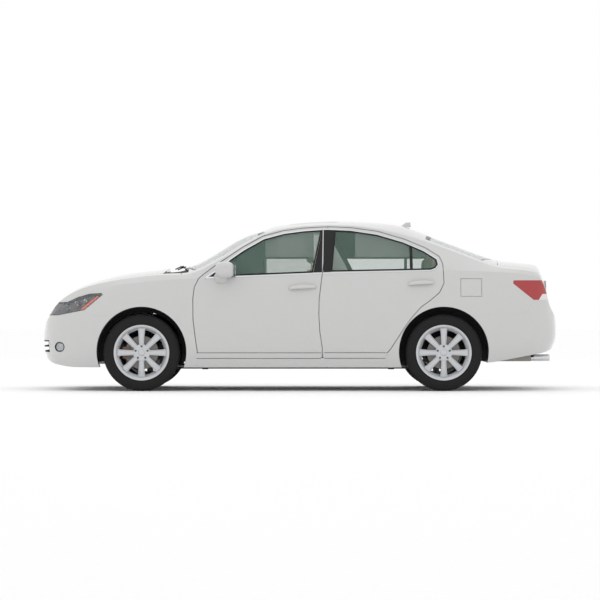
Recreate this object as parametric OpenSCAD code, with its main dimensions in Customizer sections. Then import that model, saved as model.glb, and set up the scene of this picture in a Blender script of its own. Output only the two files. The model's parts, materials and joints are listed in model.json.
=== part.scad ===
// A four-door sedan, nose towards -X, its left side towards -Y, standing on the ground plane.
// Outlines are drawn for a base car and carried to the driving dimensions by the functions X, Y and Z.

/* [Body] */
// Length from the front bumper to the rear bumper
body_length = 4650; // [4400:10:5000]
// Width over the doors, without the mirrors
body_width = 1800; // [1720:5:1950]
// Height of the roof above the ground
body_height = 1537; // [1470:1:1650]
// Distance between the front and rear axles
wheelbase = 2701; // [2600:1:2850]
// Distance from the nose back to the front axle
front_overhang = 911; // [860:1:960]
// Height of the lower edge of the sills
sill_height = 210; // [180:1:235]
// Height of the belt line under the side windows
belt_height = 1055; // [1000:1:1100]

/* [Panels] */
// Gap between a moving panel and its neighbours
panel_gap = 6; // [5:0.5:8]
// Thickness of the doors below the belt line
door_depth = 70; // [50:1:90]
// Thickness of the window frames above the belt line
frame_depth = 30; // [22:1:36]
// Thickness of the pillars and flanges behind the doors
flange_depth = 22; // [15:1:30]
// Width of the flanges that a door or lid closes on
flange_width = 22; // [15:1:30]
// Thickness of the hood, roof and trunk lid
lid_depth = 26; // [18:1:34]
// Thickness of the fenders
fender_depth = 36; // [28:1:40]
// Thickness of the bumper covers
bumper_depth = 30; // [20:1:36]
// Thickness of the window glass
glass_depth = 5; // [4:0.5:7]
// Distance of the glass below the painted surface
glass_inset = 6; // [3:0.5:10]
// Clearance between fixed pieces that lie against each other
seat_gap = 0.3; // [0.2:0.1:0.6]

/* [Wheels] */
// Radius of the tyres
tyre_radius = 343; // [325:1:360]
// Width of the tyres
tyre_width = 225; // [205:5:245]
// Radius of the rim's outer flange
rim_radius = 249; // [225:1:255]
// Distance of a wheel's middle from the car's middle
half_track = 765; // [750:1:790]
// Distance of the steering axis inboard of the wheel's middle
kingpin_inset = 30; // [20:1:40]
// Clear space between the tyre and the wheel arch
arch_space = 59; // [50:1:75]
// Number of spokes in each wheel
spoke_count = 8; // [5:1:12]
// Radius of the wheel bearing
bearing_radius = 15; // [12:0.5:20]
// Radial play in the wheel bearings
bearing_play = 0.05; // [0.02:0.01:0.1]
// Radius of the brake discs
disc_radius = 150; // [130:1:165]

/* [Hidden] */

paint = [0.90, 0.90, 0.90];
dark = [0.13, 0.13, 0.14];
tint = [0.55, 0.66, 0.60, 0.6];
beige = [0.72, 0.66, 0.55];
steel = [0.35, 0.36, 0.38];
silver = [0.75, 0.76, 0.78];

// The base car that the outlines are drawn for: nose, axles and tail, then ground, sill, belt and roof
base_x = [-2325, -1414, 1287, 2325];
base_z = [0, 210, 1055, 1537];
base_width = 1800;
front_axle_x = front_overhang - body_length / 2;
rear_axle_x = front_axle_x + wheelbase;
real_x = [-body_length / 2, front_axle_x, rear_axle_x, body_length / 2];
real_z = [0, sill_height, belt_height, body_height];

function carry(v, from, to, i = 0) =
    i < len(from) - 2 && v > from[i + 1] ? carry(v, from, to, i + 1)
    : to[i] + (v - from[i]) * (to[i + 1] - to[i]) / (from[i + 1] - from[i]);
function X(v) = carry(v, base_x, real_x);
function Y(v) = v * body_width / base_width;
function Z(v) = carry(v, base_z, real_z);
function side_points(points) = [for (p = points) [X(p[0]), Z(p[1])]];
function plan_points(points) = [for (p = points) [X(p[0]), Y(p[1])]];

// A smooth curve through [position, value] points that never overshoots them
function rise(p, i) = (p[i + 1][1] - p[i][1]) / (p[i + 1][0] - p[i][0]);
function lean(p, i) =
    i == 0 ? rise(p, 0)
    : i == len(p) - 1 ? rise(p, i - 1)
    : rise(p, i - 1) * rise(p, i) <= 0 ? 0
    : 2 * rise(p, i - 1) * rise(p, i) / (rise(p, i - 1) + rise(p, i));
function span(p, x, i = 0) = i >= len(p) - 2 || x < p[i + 1][0] ? i : span(p, x, i + 1);
function blend(a, b, la, lb, w, t) =
    a * (1 - t) * (1 - t) * (1 + 2 * t) + b * t * t * (3 - 2 * t)
    + w * t * (1 - t) * (la * (1 - t) - lb * t);
function curve(p, x) =
    let (i = span(p, x), w = p[i + 1][0] - p[i][0], t = max(0, min(1, (x - p[i][0]) / w)))
    blend(p[i][1], p[i + 1][1], lean(p, i), lean(p, i + 1), w, t);

// Height of the body's middle line, from the bumper over the hood, glass, roof and trunk
top_line = [[-2325, 560], [-2308, 610], [-2275, 668], [-2187, 797], [-2094, 882], [-1966, 953],
    [-1778, 1010], [-1578, 1056], [-1384, 1081], [-1210, 1101], [-1056, 1116], [-458, 1417],
    [-347, 1446], [-235, 1487], [-87, 1511], [98, 1528], [340, 1537], [467, 1535], [713, 1522],
    [898, 1502], [1016, 1469], [1163, 1415], [1780, 1187], [1804, 1179], [2001, 1158],
    [2140, 1142], [2174, 1117], [2201, 1019], [2232, 895], [2243, 806], [2285, 711], [2325, 640]];
// Height of the body's underside
low_line = [[-2325, 460], [-2312, 343], [-2261, 271], [-2196, 239], [-2003, 213], [-1100, 210],
    [1000, 210], [1680, 254], [2002, 307], [2260, 366], [2309, 427], [2325, 520]];
// Greatest half width, low on the doors
wide_line = [[-2325, 330], [-2312, 470], [-2275, 600], [-2230, 680], [-2170, 745], [-2080, 805],
    [-1950, 855], [-1800, 882], [-1414, 900], [-900, 897], [200, 897], [1287, 900], [1700, 887],
    [1950, 862], [2100, 825], [2200, 770], [2260, 710], [2300, 620], [2325, 420]];
// Half width at the underside
low_width = [[-2325, 300], [-2275, 520], [-2170, 680], [-1950, 800], [-1414, 850], [1287, 850],
    [1700, 835], [1950, 800], [2200, 700], [2325, 390]];
// Height and half width of the shoulder, which is the belt line along the doors
shoulder_line = [[-2325, 545], [-2308, 590], [-2275, 635], [-2200, 715], [-2100, 790], [-1950, 862],
    [-1778, 915], [-1500, 965], [-1210, 993], [-900, 1008], [-563, 1025], [154, 1052], [573, 1064],
    [1171, 1076], [1500, 1074], [1800, 1062], [2050, 1040], [2140, 1020], [2185, 960],
    [2220, 860], [2243, 770], [2285, 690], [2325, 625]];
shoulder_width = [[-2325, 310], [-2275, 560], [-2200, 655], [-2100, 725], [-1950, 775],
    [-1778, 805], [-1500, 830], [-1210, 842], [-900, 848], [1171, 848], [1500, 842], [1800, 825],
    [2050, 790], [2185, 745], [2285, 640], [2325, 400]];
// Height and half width of the rail where the side meets the hood, glass, roof or trunk
rail_line = [[-2325, 552], [-2308, 602], [-2275, 655], [-2200, 765], [-2100, 845], [-1950, 918],
    [-1778, 965], [-1500, 1012], [-1210, 1038], [-1040, 1040], [-900, 1078], [-800, 1128],
    [-623, 1228], [-503, 1305], [-324, 1405], [-144, 1455], [35, 1478], [256, 1488], [453, 1484],
    [692, 1455], [932, 1400], [1111, 1348], [1231, 1305], [1400, 1243], [1600, 1165],
    [1750, 1112], [1850, 1095], [2050, 1075], [2140, 1052], [2185, 985], [2220, 880],
    [2243, 785], [2285, 700], [2325, 632]];
rail_width = [[-2325, 280], [-2275, 500], [-2200, 600], [-2100, 665], [-1950, 715], [-1778, 745],
    [-1500, 772], [-1210, 790], [-1040, 800], [-900, 783], [-800, 765], [-623, 722], [-503, 692],
    [-324, 650], [-144, 625], [35, 610], [256, 602], [453, 602], [692, 608], [932, 624],
    [1111, 640], [1231, 655], [1400, 682], [1600, 722], [1750, 757], [1850, 772], [2050, 745],
    [2185, 690], [2285, 560], [2325, 380]];

// One half of the body's section at a place x, from the middle of its underside to the middle of its top
side_steps = 5;
pane_steps = 2;
crown_steps = 4;
function flank(t, low, wide, high) =
    t < 0.45 ? wide - (wide - low) * pow(1 - t / 0.45, 3)
    : wide - (wide - high) * pow((t - 0.45) / 0.55, 2.2);
function half_section(x) =
    let (low = curve(low_line, x), belt = curve(shoulder_line, x), rail = curve(rail_line, x),
        top = curve(top_line, x), wide = curve(wide_line, x), low_w = curve(low_width, x),
        belt_w = curve(shoulder_width, x), rail_w = curve(rail_width, x))
    concat(
        [[0, low], [low_w * 0.6, low]],
        [for (k = [0:side_steps]) let (t = k / side_steps)
            [flank(t, low_w, wide, belt_w), low + (belt - low) * t]],
        [for (k = [1:pane_steps]) let (t = k / pane_steps)
            [belt_w + (rail_w - belt_w) * t + t * (1 - t) * 0.12 * (rail - belt),
             belt + (rail - belt) * t]],
        [for (k = [1:crown_steps]) let (t = k / crown_steps)
            [rail_w * (1 - t), rail + (top - rail) * (1 - pow(1 - t, 2.2))]]);
function ring(x) =
    let (half = half_section(x), n = len(half))
    concat(half, [for (k = [n - 2:-1:1]) [-half[k][0], half[k][1]]]);

// A ring moved inwards: by deep below the belt line and by thin above it
function depth_at(z, deep, thin) =
    let (t = max(0, min(1, (z - base_z[2] + 50) / 60))) deep + (thin - deep) * t;
function moved_in(r, deep, thin) = [for (k = [0:len(r) - 1])
    let (n = len(r), step = r[(k + 1) % n] - r[(k + n - 1) % n],
        depth = depth_at(r[k][1], deep, thin))
    r[k] + depth * [-step[1], step[0]] / norm(step)];

// Share of a depth that is kept close to the nose and the tail, where the sections are small
function end_share(x) = min(1, (min(x - base_x[0], base_x[3] - x) + 100) / 600);
// The body as one closed solid between two places, with its surface moved in by a depth
end_steps = [0, 10, 30, 60, 110, 142, 210, 320];
station_pitch = 150;
stations = concat(
    [for (d = end_steps) base_x[0] + d],
    [for (x = [-1860:station_pitch:1890]) x],
    [for (k = [len(end_steps) - 1:-1:0]) base_x[3] - end_steps[k]]);
function kept_stations(x0, x1) = concat([x0], [for (s = stations) if (s > x0 + 4 && s < x1 - 4) s], [x1]);
module body_form(deep = 0, thin = 0, x0 = base_x[0], x1 = base_x[3]) {
    margin = max(deep, thin);
    xs = kept_stations(max(x0, base_x[0] + margin), min(x1, base_x[3] - margin));
    rings = [for (x = xs) let (t = end_share(x)) moved_in(ring(x), deep * t, thin * t)];
    m = len(rings[0]);
    points = [for (i = [0:len(xs) - 1]) for (p = rings[i]) [X(xs[i]), Y(p[0]), Z(p[1])]];
    walls = [for (i = [0:len(xs) - 2]) for (k = [0:m - 1])
        [i * m + k, (i + 1) * m + k, (i + 1) * m + (k + 1) % m, i * m + (k + 1) % m]];
    front = [for (k = [0:m - 1]) k];
    back = [for (k = [m - 1:-1:0]) (len(xs) - 1) * m + k];
    polyhedron(points = points, faces = concat(walls, [front, back]), convexity = 8);
}

// The part of the body between two depths below its surface
module skin(outer, outer_thin, inner, inner_thin, x0 = base_x[0], x1 = base_x[3]) {
    difference() {
        body_form(outer, outer_thin, x0, x1);
        body_form(inner, inner_thin, x0 - 40, x1 + 40);
    }
}
// Pressed panels are worked out as one shape
module pressed() { minkowski() { union() children(); } }

far = 2000;
module across(points, grow = 0, left_only = true) {
    rotate([90, 0, 0])
        translate([0, 0, left_only ? 0 : -far])
            linear_extrude(left_only ? far : 2 * far)
                offset(delta = grow) polygon(side_points(points));
}
module down(points, grow = 0) {
    linear_extrude(far) offset(delta = grow) polygon(plan_points(points));
}
module block(x, y, z) {
    translate([X(x[0]), Y(y[0]), Z(z[0])])
        cube([X(x[1]) - X(x[0]), Y(y[1]) - Y(y[0]), Z(z[1]) - Z(z[0])]);
}
module both_sides() {
    children();
    mirror([0, 1, 0]) children();
}
module arch_holes(grow = 0, reach = far) {
    for (x = [front_axle_x, rear_axle_x])
        translate([x, 0, arch_z]) rotate([90, 0, 0])
            cylinder(r = arch_radius + grow, h = 2 * reach, center = true, $fn = 48);
}
arch_radius = tyre_radius + arch_space;
arch_z = tyre_radius + 9;

// Side outlines of the base car
door_front_edge = [[-905, 1005], [-942, 930], [-955, 830], [-953, 641], [-930, 454], [-911, 329]];
door_split = [[202, 307], [200, 391], [178, 535], [170, 690], [173, 822], [202, 1055]];
door_rear_edge = [[717, 305], [788, 349], [813, 379], [867, 463], [986, 642], [1082, 750],
    [1166, 810], [1249, 882], [1289, 965], [1285, 1037]];
frame_front = [[253, 1474], [35, 1462], [-148, 1438], [-330, 1389], [-513, 1288], [-635, 1205],
    [-740, 1135], [-860, 1045]];
frame_rear = [[1279, 1140], [1250, 1205], [1125, 1284], [945, 1360], [700, 1433], [453, 1467],
    [253, 1474]];
door_bottom = 300;
half_gap = panel_gap / 2;
front_door_shape = concat(door_front_edge, [[-886, door_bottom], [202, door_bottom]], door_split, frame_front);
rear_door_shape = concat([[202, door_bottom]], door_rear_edge, frame_rear,
    [for (k = [len(door_split) - 1:-1:0]) door_split[k]]);
front_window = [[-800, 1025], [-623, 1178], [-503, 1261], [-324, 1362], [-144, 1411], [35, 1435],
    [203, 1446], [118, 1058], [-563, 1030]];
rear_window_side = [[276, 1066], [311, 1447], [453, 1440], [692, 1404], [932, 1333], [1111, 1255],
    [1225, 1180], [1236, 1132], [1212, 1100], [1171, 1084], [573, 1072]];
headlight_shape = [[-2400, 676], [-2171, 676], [-1926, 723], [-1761, 861], [-1774, 877],
    [-1882, 870], [-1982, 842], [-2083, 797], [-2400, 797]];
tail_light_shape = [[1909, 960], [1909, 984], [1919, 990], [2400, 992], [2400, 815], [2093, 815]];
front_bumper_shape = [[-2400, 100], [-1600, 100], [-1600, 674], [-1882, 674], [-1926, 717],
    [-2171, 672], [-2400, 672]];
rear_bumper_shape = [[1450, 100], [2400, 100], [2400, 803], [2074, 803], [2033, 712], [1991, 690],
    [1450, 667]];
fender_shape = [[-2250, 640], [-1600, 150], [-930, 150], [-914, 329], [-933, 454], [-956, 641],
    [-958, 830], [-945, 930], [-908, 1005], [-960, 1045], [-1010, 1300], [-2250, 1300]];
fuel_flap_shape = [[1438, 846], [1625, 846], [1625, 1004], [1438, 1004]];
// Plan outlines of the base car, for y >= 0
hood_edge = [[-2400, 575], [-2150, 600], [-1900, 660], [-1500, 690], [-1225, 700]];
lid_edge = [[2000, 650], [2400, 640]];
roof_edge = [[-200, 598], [35, 580], [256, 572], [500, 572], [800, 585], [1000, 600]];
hood_rear = [[-1225, 700], [-1200, 500], [-1190, 250], [-1186, 0]];
shield_base = [[-1056, 0], [-1045, 250], [-1010, 500], [-950, 705]];
shield_top = [[-310, 580], [-335, 300], [-347, 0]];
back_top = [[1163, 0], [1155, 300], [1135, 560]];
back_base = [[1640, 655], [1740, 400], [1775, 150], [1780, 0]];
lid_front = [[1800, 0], [1797, 250], [1790, 450], [1778, 650]];
function both(points) = concat(points, [for (k = [len(points) - 1:-1:0]) [points[k][0], -points[k][1]]]);
hood_plan = both(concat([[-2400, 0]], hood_edge, hood_rear));
shield_plan = both(concat(shield_base, shield_top));
back_plan = both(concat(back_top, back_base));
roof_plan = both(concat([[-347, 0], [-335, 300], [-310, 580]], roof_edge, [[1135, 560], [1155, 300], [1163, 0]]));
lid_plan = both(concat(lid_front, lid_edge, [[2400, 0]]));
cowl_plan = both(concat([[-1310, 0], [-1310, 690], [-1225, 715]], [[-1000, 715], [-1000, 0]]));
sunroof_plan = both([[-87, 0], [-87, 400], [-60, 425], [315, 425], [340, 400], [340, 0]]);

// Where the pieces inside the car stand
floor_low = 240;
floor_top = 256;
floor_half = 760 - seat_gap;
trunk_floor = 420;
firewall_x = -984;
rail_in = 380;
rail_out = 450;
house_front = 440;
house_rear = 590;
kingpin_y = half_track - kingpin_inset;
arm_top = tyre_radius - 111;
upper_arm_low = tyre_radius + 127;
column_tilt = 25;
wheel_centre = [-450, -370, 998];
fuel_flap_depth = 8;
plate_hole_radius = 3.5;
plate_hole_pitch = 177.8;

module lid_form(grow) {
    intersection() {
        down(lid_plan, grow);
        block([1500, 2500], [-900, 900], [995 - grow, 1500]);
    }
    block([1850, 2500], [-495 - grow, 495 + grow], [806 - grow, 1000]);
}

// The welded shell: floor, tunnel, firewall, rails, wheel houses, trunk floor and end panels
module house(axle_x, y_low, y_high) {
    both_sides() translate([axle_x, -y_low, arch_z]) rotate([90, 0, 0]) difference() {
        cylinder(r = arch_radius - 1, h = y_high - y_low, $fn = 72);
        translate([0, 0, -1]) cylinder(r = arch_radius - 6, h = y_high - y_low + 2, $fn = 72);
        translate([-far / 2, -far, -1]) cube([far, far, y_high - y_low + 2]);
    }
}
module underbody() {
    color(dark) {
        difference() {
            union() {
                block([firewall_x - 16, 950], [-floor_half, floor_half], [floor_low, floor_top]);
                block([firewall_x - 16, 552], [-110, 110], [floor_top - 1, 335]);
                block([firewall_x - 16, firewall_x], [-700, 700], [floor_low, 985]);
                both_sides() block([-2090, firewall_x - 1], [rail_in, rail_out], [420, 500]);
                block([-2115, -2085], [-560, 560], [270, 655]);
                both_sides() for (x = [-850, 820])
                    translate([X(x), -Y(700), Z(floor_low) - 48]) cylinder(r = 28, h = 50, $fn = 48);
            }
            both_sides() translate([rear_axle_x, -house_rear, arch_z]) rotate([90, 0, 0])
                cylinder(r = arch_radius - 6, h = far, $fn = 72);
        }
        house(front_axle_x, house_front, 845);
        both_sides() translate([front_axle_x, -545, arch_z + arch_radius - 8]) cylinder(r = 75, h = 110, $fn = 48);
    }
}
// The welded rear shell: trunk floor, the step under the rear seat, rear wheel houses and tail panel
module trunk_pan() {
    color(dark) {
        difference() {
            union() {
                block([932, 948], [-house_rear, house_rear], [floor_top + seat_gap, trunk_floor + 16]);
                block([932, 2190], [-house_rear, house_rear], [trunk_floor, trunk_floor + 16]);
                block([1695, 2190], [-700, 700], [trunk_floor, trunk_floor + 16]);
                block([2180, 2196], [-600, 600], [trunk_floor, 780]);
            }
            both_sides() translate([rear_axle_x, -house_rear, arch_z]) rotate([90, 0, 0])
                cylinder(r = arch_radius - 6, h = far, $fn = 72);
        }
        house(rear_axle_x, house_rear - 6, 770);
        both_sides() translate([rear_axle_x, 6 - house_rear, arch_z]) rotate([90, 0, 0]) difference() {
            cylinder(r = arch_radius - 1, h = 6, $fn = 72);
            translate([-far / 2, -far, -1]) cube([far, far, 8]);
        }
    }
}

module cowl() {
    color(dark) pressed() intersection() {
        skin(36, 36, 52, 52, -1500, -800);
        down(cowl_plan, -seat_gap);
        block([-1500, -800], [-900, 900], [900, 1300]);
    }
}

// The windshield, roof and rear window as seen from above
module top_plans(grow) {
    intersection() {
        union() {
            down(shield_plan, grow);
            down(back_plan, grow);
            down(roof_plan, grow);
        }
        block([-1400, 1800], [-900, 900], [880, 1700]);
    }
}

// A side of the body: sill, pillars, roof rail and rear quarter, with flanges that the doors close on
module door_ways(shape) {
    difference() {
        across(shape, half_gap);
        body_form(door_depth + seat_gap, frame_depth + seat_gap, -1300, 1700);
    }
}
module lid_ledge() {
    difference() {
        intersection() {
            skin(lid_depth + seat_gap, lid_depth + seat_gap, lid_depth + 16, lid_depth + 16, 1600, 2325);
            down(lid_plan, half_gap + 4);
            block([1830, 2150], [-900, 0], [1000, 1300]);
        }
        down(lid_plan, -flange_width);
    }
}
module body_side_left() {
    color(paint) pressed() {
        lid_ledge();
        side_shell();
    }
}
module side_shell() {
    difference() {
        intersection() {
            skin(0, 0, door_depth + flange_depth, frame_depth + flange_depth, -1300, 2325);
            across([[-1120, 150], [-1120, 1600], [2400, 1600], [2400, 150]]);
        }
        across(fender_shape);
        door_ways(front_door_shape);
        door_ways(rear_door_shape);
        intersection() {
            across(front_door_shape, -flange_width);
            block([-1100, 125], [-1000, 0], [0, 1600]);
        }
        intersection() {
            across(rear_door_shape, -flange_width);
            block([250, 1400], [-1000, 0], [0, 1600]);
        }
        intersection() {
            across(front_door_shape, half_gap);
            block([-1100, -200], [-1000, 0], [1080, 1600]);
        }
        across(rear_bumper_shape);
        intersection() {
            across(tail_light_shape);
            block([1800, 2400], [-1000, -500], [0, 1600]);
        }
        lid_form(half_gap);
        block([-1300, 2400], [-760, 760], [0, 804]);
        top_plans(0);
        intersection() {
            down(cowl_plan);
            block([-1400, 1800], [-900, 900], [880, 1700]);
        }
        block([1780, 2190], [-640, 640], [700, 990]);
        arch_holes();
        difference() {
            across(fuel_flap_shape, half_gap);
            body_form(fuel_flap_depth + seat_gap, fuel_flap_depth + seat_gap, 1300, 1750);
        }
        difference() {
            across(fuel_flap_shape, -12);
            body_form(50, 50, 1300, 1750);
        }
    }
}
module body_side_right() { mirror([0, 1, 0]) body_side_left(); }

module roof() {
    color(paint) pressed() difference() {
        intersection() {
            skin(0, 0, lid_depth, lid_depth, -500, 1300);
            down(roof_plan, -seat_gap);
            block([-500, 1300], [-900, 900], [1200, 1700]);
        }
        down(sunroof_plan);
    }
}
module sunroof_glass() {
    color(dark) pressed() intersection() {
        skin(0, 0, glass_depth, glass_depth, -300, 600);
        down(sunroof_plan, -seat_gap);
        block([-500, 1300], [-900, 900], [1200, 1700]);
    }
}

// A fender, with the ledge that the hood closes on
module fender_left() {
    color(paint) pressed() difference() {
        union() {
            difference() {
                intersection() {
                    skin(0, 0, fender_depth, fender_depth, -2325, -700);
                    across(fender_shape, -seat_gap);
                }
                down(hood_plan, half_gap);
            }
            difference() {
                intersection() {
                    skin(lid_depth + seat_gap, lid_depth + seat_gap, lid_depth + 16, lid_depth + 16,
                        -2325, -700);
                    down(hood_plan, half_gap + 4);
                    across([[-2060, 880], [-1260, 880], [-1260, 1200], [-2060, 1200]]);
                }
                down(hood_plan, -flange_width);
            }
        }
        block([-1900, -800], [-760, 760], [0, 900]);
        down(cowl_plan);
        down(shield_plan);
        across(front_door_shape, half_gap);
        across(front_bumper_shape);
        across(headlight_shape);
        arch_holes();
    }
}
module fender_right() { mirror([0, 1, 0]) fender_left(); }

module front_bumper() {
    color(paint) pressed() difference() {
        intersection() {
            skin(0, 0, bumper_depth, bumper_depth, -2325, -1400);
            across(front_bumper_shape, -seat_gap, false);
        }
        arch_holes();
        block([-2400, -2100], [-640, 640], [345, 452]);
        block([-2050, -1400], [-700, 700], [0, 900]);
    }
}
module rear_bumper() {
    color(paint) pressed() difference() {
        intersection() {
            skin(0, 0, bumper_depth, bumper_depth, 1300, 2325);
            across(rear_bumper_shape, -seat_gap, false);
        }
        arch_holes();
        block([1300, 2120], [-740, 740], [0, 900]);
    }
}

// Bars of the upper grille and the lower intake
module grille() {
    color(dark) {
        grille_bars(8, [672, 794], 490 - seat_gap, 3);
        grille_bars(12, [345.5, 451.5], 639.5, 2);
    }
}
module grille_bars(depth, z, half_width, slots) {
    pitch = (z[1] - z[0] - 12) / slots;
    pressed() difference() {
        intersection() {
            skin(depth, depth, depth + 18, depth + 18, -2325, -1900);
            block([-2400, -2080], [-half_width, half_width], z);
        }
        for (k = [0:slots - 1])
            block([-2400, -1900], [15 - half_width, half_width - 15],
                [z[0] + 12 + k * pitch, z[0] + (k + 1) * pitch]);
    }
}

module headlights() {
    color(silver) both_sides() pressed() intersection() {
        skin(0.5, 0.5, 60, 60, -2325, -1600);
        across(headlight_shape, -seat_gap);
        block([-2400, -1600], [-1000, -490], [600, 1000]);
    }
}
module tail_lights() {
    color("firebrick") both_sides() pressed() intersection() {
        skin(0.5, 0.5, 60, 60, 1800, 2325);
        across(tail_light_shape, -seat_gap);
        block([1800, 2400], [-1000, -501], [600, 1100]);
    }
}

module glazing(plan, x0, x1) {
    color(tint) pressed() intersection() {
        skin(glass_inset, glass_inset, glass_inset + glass_depth, glass_inset + glass_depth, x0, x1);
        down(plan, -seat_gap);
        block([x0, x1], [-900, 900], [950, 1700]);
    }
}
module windshield() { glazing(shield_plan, -1200, -200); }
module rear_window() { glazing(back_plan, 1000, 1900); }

module engine() {
    color(steel) {
        block([-1950, -1360], [-330, 330], [300, 900]);
        both_sides() translate([X(-1690), Y(325), Z(430)])
            cube([60, Y(rail_in) - Y(325) - seat_gap, Z(480) - Z(430)]);
    }
}

module dashboard() {
    color(dark) {
        translate([0, Y(735), 0]) rotate([90, 0, 0]) linear_extrude(2 * Y(735))
            polygon(concat([[X(firewall_x) + seat_gap, Z(720)], [X(firewall_x) + seat_gap, Z(975)]],
                side_points([[-900, 1008], [-760, 1020], [-640, 985], [-615, 930], [-640, 780], [-700, 700]])));
        at_steering_wheel() translate([0, 0, -300]) cylinder(r = 22, h = 265 - seat_gap, $fn = 40);
    }
}
module at_steering_wheel() {
    translate([X(wheel_centre[0]), Y(wheel_centre[1]), Z(wheel_centre[2])])
        rotate([0, 90 - column_tilt, 0]) children();
}
module steering_wheel() {
    color(dark) at_steering_wheel() {
        rotate_extrude($fn = 96) translate([172, 0]) circle(r = 15, $fn = 32);
        translate([0, 0, -35]) cylinder(r = 55, h = 50, $fn = 48);
        for (turn = [90, 0, -90]) rotate([0, 0, turn]) translate([0, -18, -8]) cube([165, 36, 14]);
    }
}

module seat_slice(points, y) {
    translate([0, Y(y[1]), 0]) rotate([90, 0, 0]) linear_extrude(Y(y[1]) - Y(y[0]))
        polygon(side_points(points));
}
module front_seats() {
    color(beige) both_sides() {
        seat_slice([[-470, 420], [-485, 520], [-445, 575], [-380, 588], [0, 550], [60, 470], [40, 420]], [130, 630]);
        seat_slice([[-40, 470], [-35, 560], [70, 1100], [95, 1125], [145, 1125], [160, 1090], [80, 470]], [145, 615]);
        seat_slice([[62, 1150], [58, 1290], [80, 1325], [125, 1325], [148, 1290], [145, 1150]], [250, 510]);
        for (y = [330, 430]) translate([X(105), Y(y), Z(1100)]) cylinder(r = 7, h = Z(1180) - Z(1100), $fn = 24);
        for (y = [170, 550]) translate([X(-420), Y(y), Z(floor_top) + seat_gap])
            cube([X(20) - X(-420), 40, Z(430) - Z(floor_top)]);
    }
}
module rear_seat() {
    color(beige) {
        translate([X(560), -Y(700), Z(floor_top) + seat_gap]) cube([X(875) - X(560), 2 * Y(700), Z(590) - Z(floor_top)]);
        block([870, 1040], [-575, 575], [440, 580]);
        seat_slice([[985, 450], [985, 560], [1040, 770], [1160, 770], [1090, 450]], [-575, 575]);
        seat_slice([[1040, 769], [1118, 1045], [1230, 1045], [1160, 769]], [-690, 690]);
        for (y = [-370, 370]) seat_slice([[1128, 1040], [1142, 1190], [1180, 1215], [1215, 1190], [1205, 1040]],
            [y - 130, y + 130]);
    }
}
module rear_shelf() {
    color(dark) translate([X(1230) + seat_gap, -Y(640), Z(1030)])
        cube([X(1735) - X(1230), 2 * Y(640), Z(1046) - Z(1030)]);
}

module exhaust() {
    color(steel) {
        translate([X(-1200), -Y(200), Z(211)]) rotate([0, 90, 0])
            cylinder(r = 25, h = X(1500) - X(-1200), $fn = 40);
        translate([X(1495), -Y(200), Z(211)]) rotate([0, 65, 0]) cylinder(r = 25, h = 230, $fn = 40);
        block([1690, 2080], [-620, -150], [262, 395]);
        translate([X(2079), -Y(500), Z(293)]) rotate([0, 90, 0]) difference() {
            cylinder(r = 28, h = X(2250) - X(2079), $fn = 40);
            translate([0, 0, 20]) cylinder(r = 25, h = far, $fn = 40);
        }
        for (x = [1760, 2020]) for (y = [-560, -210]) translate([X(x), Y(y), Z(394)])
            cylinder(r = 8, h = Z(trunk_floor) - Z(394) - seat_gap, $fn = 24);
    }
}

// Cross member with the lower and upper arms, whose ends carry the knuckles on the steering axis
module front_subframe() {
    color(steel) {
        block([-1560, -1300], [-400, 400], [205, 262]);
        both_sides() {
            for (x = [-1520, -1340]) translate([X(x), -Y(388), Z(261)])
                cylinder(r = 12, h = Z(420) - Z(261) - seat_gap, $fn = 32);
            translate([front_axle_x - 32, -kingpin_y, arm_top - 27]) cube([64, kingpin_y - Y(395), 27]);
            translate([front_axle_x, -kingpin_y, arm_top - 27]) cylinder(r = 32, h = 27, $fn = 48);
            translate([front_axle_x - 25, -kingpin_y, upper_arm_low]) cube([50, kingpin_y - Y(rail_out) - seat_gap, 20]);
            translate([front_axle_x, -kingpin_y, upper_arm_low]) cylinder(r = 25, h = 20, $fn = 48);
        }
    }
}
module stub_axle(y_from) {
    translate([0, -y_from, tyre_radius]) rotate([90, 0, 0])
        cylinder(r = bearing_radius - bearing_play, h = half_track + 66 - y_from, $fn = 48);
}
module rear_axle() {
    color(steel) {
        translate([rear_axle_x - 70, 0, tyre_radius - 40]) rotate([90, 0, 0])
            cylinder(r = 32, h = 1200, center = true, $fn = 48);
        both_sides() {
            translate([rear_axle_x, 0, 0]) stub_axle(600);
            translate([rear_axle_x - 110, -640, tyre_radius - 75]) cube([150, 45, 120]);
            translate([rear_axle_x - 70, -520, tyre_radius - 20])
                cylinder(r = 45, h = Z(trunk_floor) - tyre_radius + 20 - seat_gap, $fn = 48);
        }
    }
}
disc_inner = half_track + 20;
disc_outer = half_track + 42;
module knuckle_left() {
    color(steel) translate([front_axle_x, 0, 0]) {
        translate([-28, -kingpin_y - 23, arm_top + seat_gap])
            cube([56, 46, upper_arm_low - arm_top - 2 * seat_gap]);
        stub_axle(kingpin_y);
        mirror([1, 0, 0]) difference() {
            translate([0, -disc_outer - 22, tyre_radius - 52])
                cube([disc_radius + 18, disc_outer + 22 - kingpin_y - 10, 104]);
            translate([-1, -disc_outer - 3, tyre_radius - 60])
                cube([disc_radius + 5, disc_outer - disc_inner + 6, 120]);
            translate([-1, -disc_outer - 23, tyre_radius - 60]) cube([disc_radius - 50, 24, 120]);
        }
    }
}
module knuckle_right() { mirror([0, 1, 0]) knuckle_left(); }

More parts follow.
